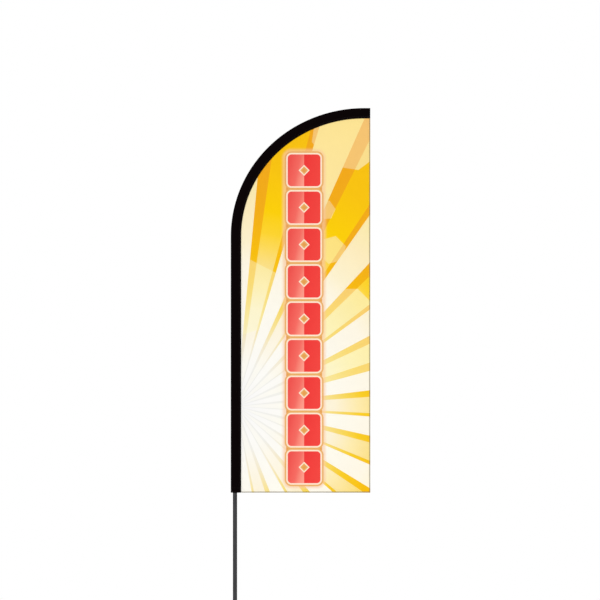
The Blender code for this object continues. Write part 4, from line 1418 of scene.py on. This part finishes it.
def soft_sun(name, toward, strength):
    """A wide, even light that comes from a direction."""
    light = bpy.data.lights.new(name, "SUN")
    light.angle = math.radians(25)
    light.energy = strength
    lamp = link_object(name, light)
    lamp.rotation_euler = Vector(toward).to_track_quat("Z", "Y").to_euler()
    lamp.location = Vector(toward)


FRONT_SURROUND = 0.72
BACK_SURROUND = 0.22
FRONT_LIGHT = 1.15
BACK_LIGHT = 2.2


def build_light():
    """A white surround that is brighter in front, with a soft light in front and another behind."""
    world = bpy.data.worlds.new("White_surround")
    world.use_nodes = True
    nodes, links = world.node_tree.nodes, world.node_tree.links
    seen = nodes.new("ShaderNodeBackground")
    seen.inputs["Color"].default_value = (1.0, 1.0, 1.0, 1.0)
    cast = nodes["Background"]
    cast.inputs["Color"].default_value = (1.0, 1.0, 1.0, 1.0)
    direction = nodes.new("ShaderNodeTexCoord")
    split = nodes.new("ShaderNodeSeparateXYZ")
    links.new(direction.outputs["Generated"], split.inputs[0])
    strength = nodes.new("ShaderNodeMapRange")
    for socket, value in zip(strength.inputs[1:5], (-0.8, 0.5, FRONT_SURROUND, BACK_SURROUND)):
        socket.default_value = value
    links.new(split.outputs[1], strength.inputs["Value"])
    links.new(strength.outputs["Result"], cast.inputs["Strength"])
    path = nodes.new("ShaderNodeLightPath")
    either = nodes.new("ShaderNodeMixShader")
    links.new(path.outputs["Is Camera Ray"], either.inputs["Fac"])
    links.new(cast.outputs[0], either.inputs[1])
    links.new(seen.outputs[0], either.inputs[2])
    links.new(either.outputs[0], nodes["World Output"].inputs["Surface"])
    bpy.context.scene.world = world
    soft_sun("Front_light", (-2.2, -6.0, 4.0), FRONT_LIGHT)
    soft_sun("Back_light", (2.6, 6.0, 3.6), BACK_LIGHT)


def build_camera():
    """A long lens square to the flag, which takes in the flag and a stretch of bare pole."""
    view_width = 2.732
    lens, sensor = 200.0, 36.0
    camera = link_object("Camera", bpy.data.cameras.new("Camera"))
    camera.data.lens = lens
    camera.data.sensor_width = sensor
    distance = view_width * lens / sensor
    camera.location = (0.296, -distance, 1.566)
    camera.rotation_euler = (math.pi / 2, 0.0, 0.0)
    camera.data.clip_end = 100.0
    bpy.context.scene.camera = camera
    bpy.context.scene.view_settings.view_transform = "Standard"


sleeve = build_sleeve()
build_sleeve_seams()
panel, panel_flat, panel_surface, panel_normal = build_panel()
hems = build_hems(panel_flat, panel_surface, panel_normal)
build_mouth_band()
build_straps()
build_rod()
build_tubes()
build_button()
build_leaf_spring()
build_spindle()
build_stake()
dress_sealed_parts()
declare_cloth()
build_stage()
build_light()
build_camera()
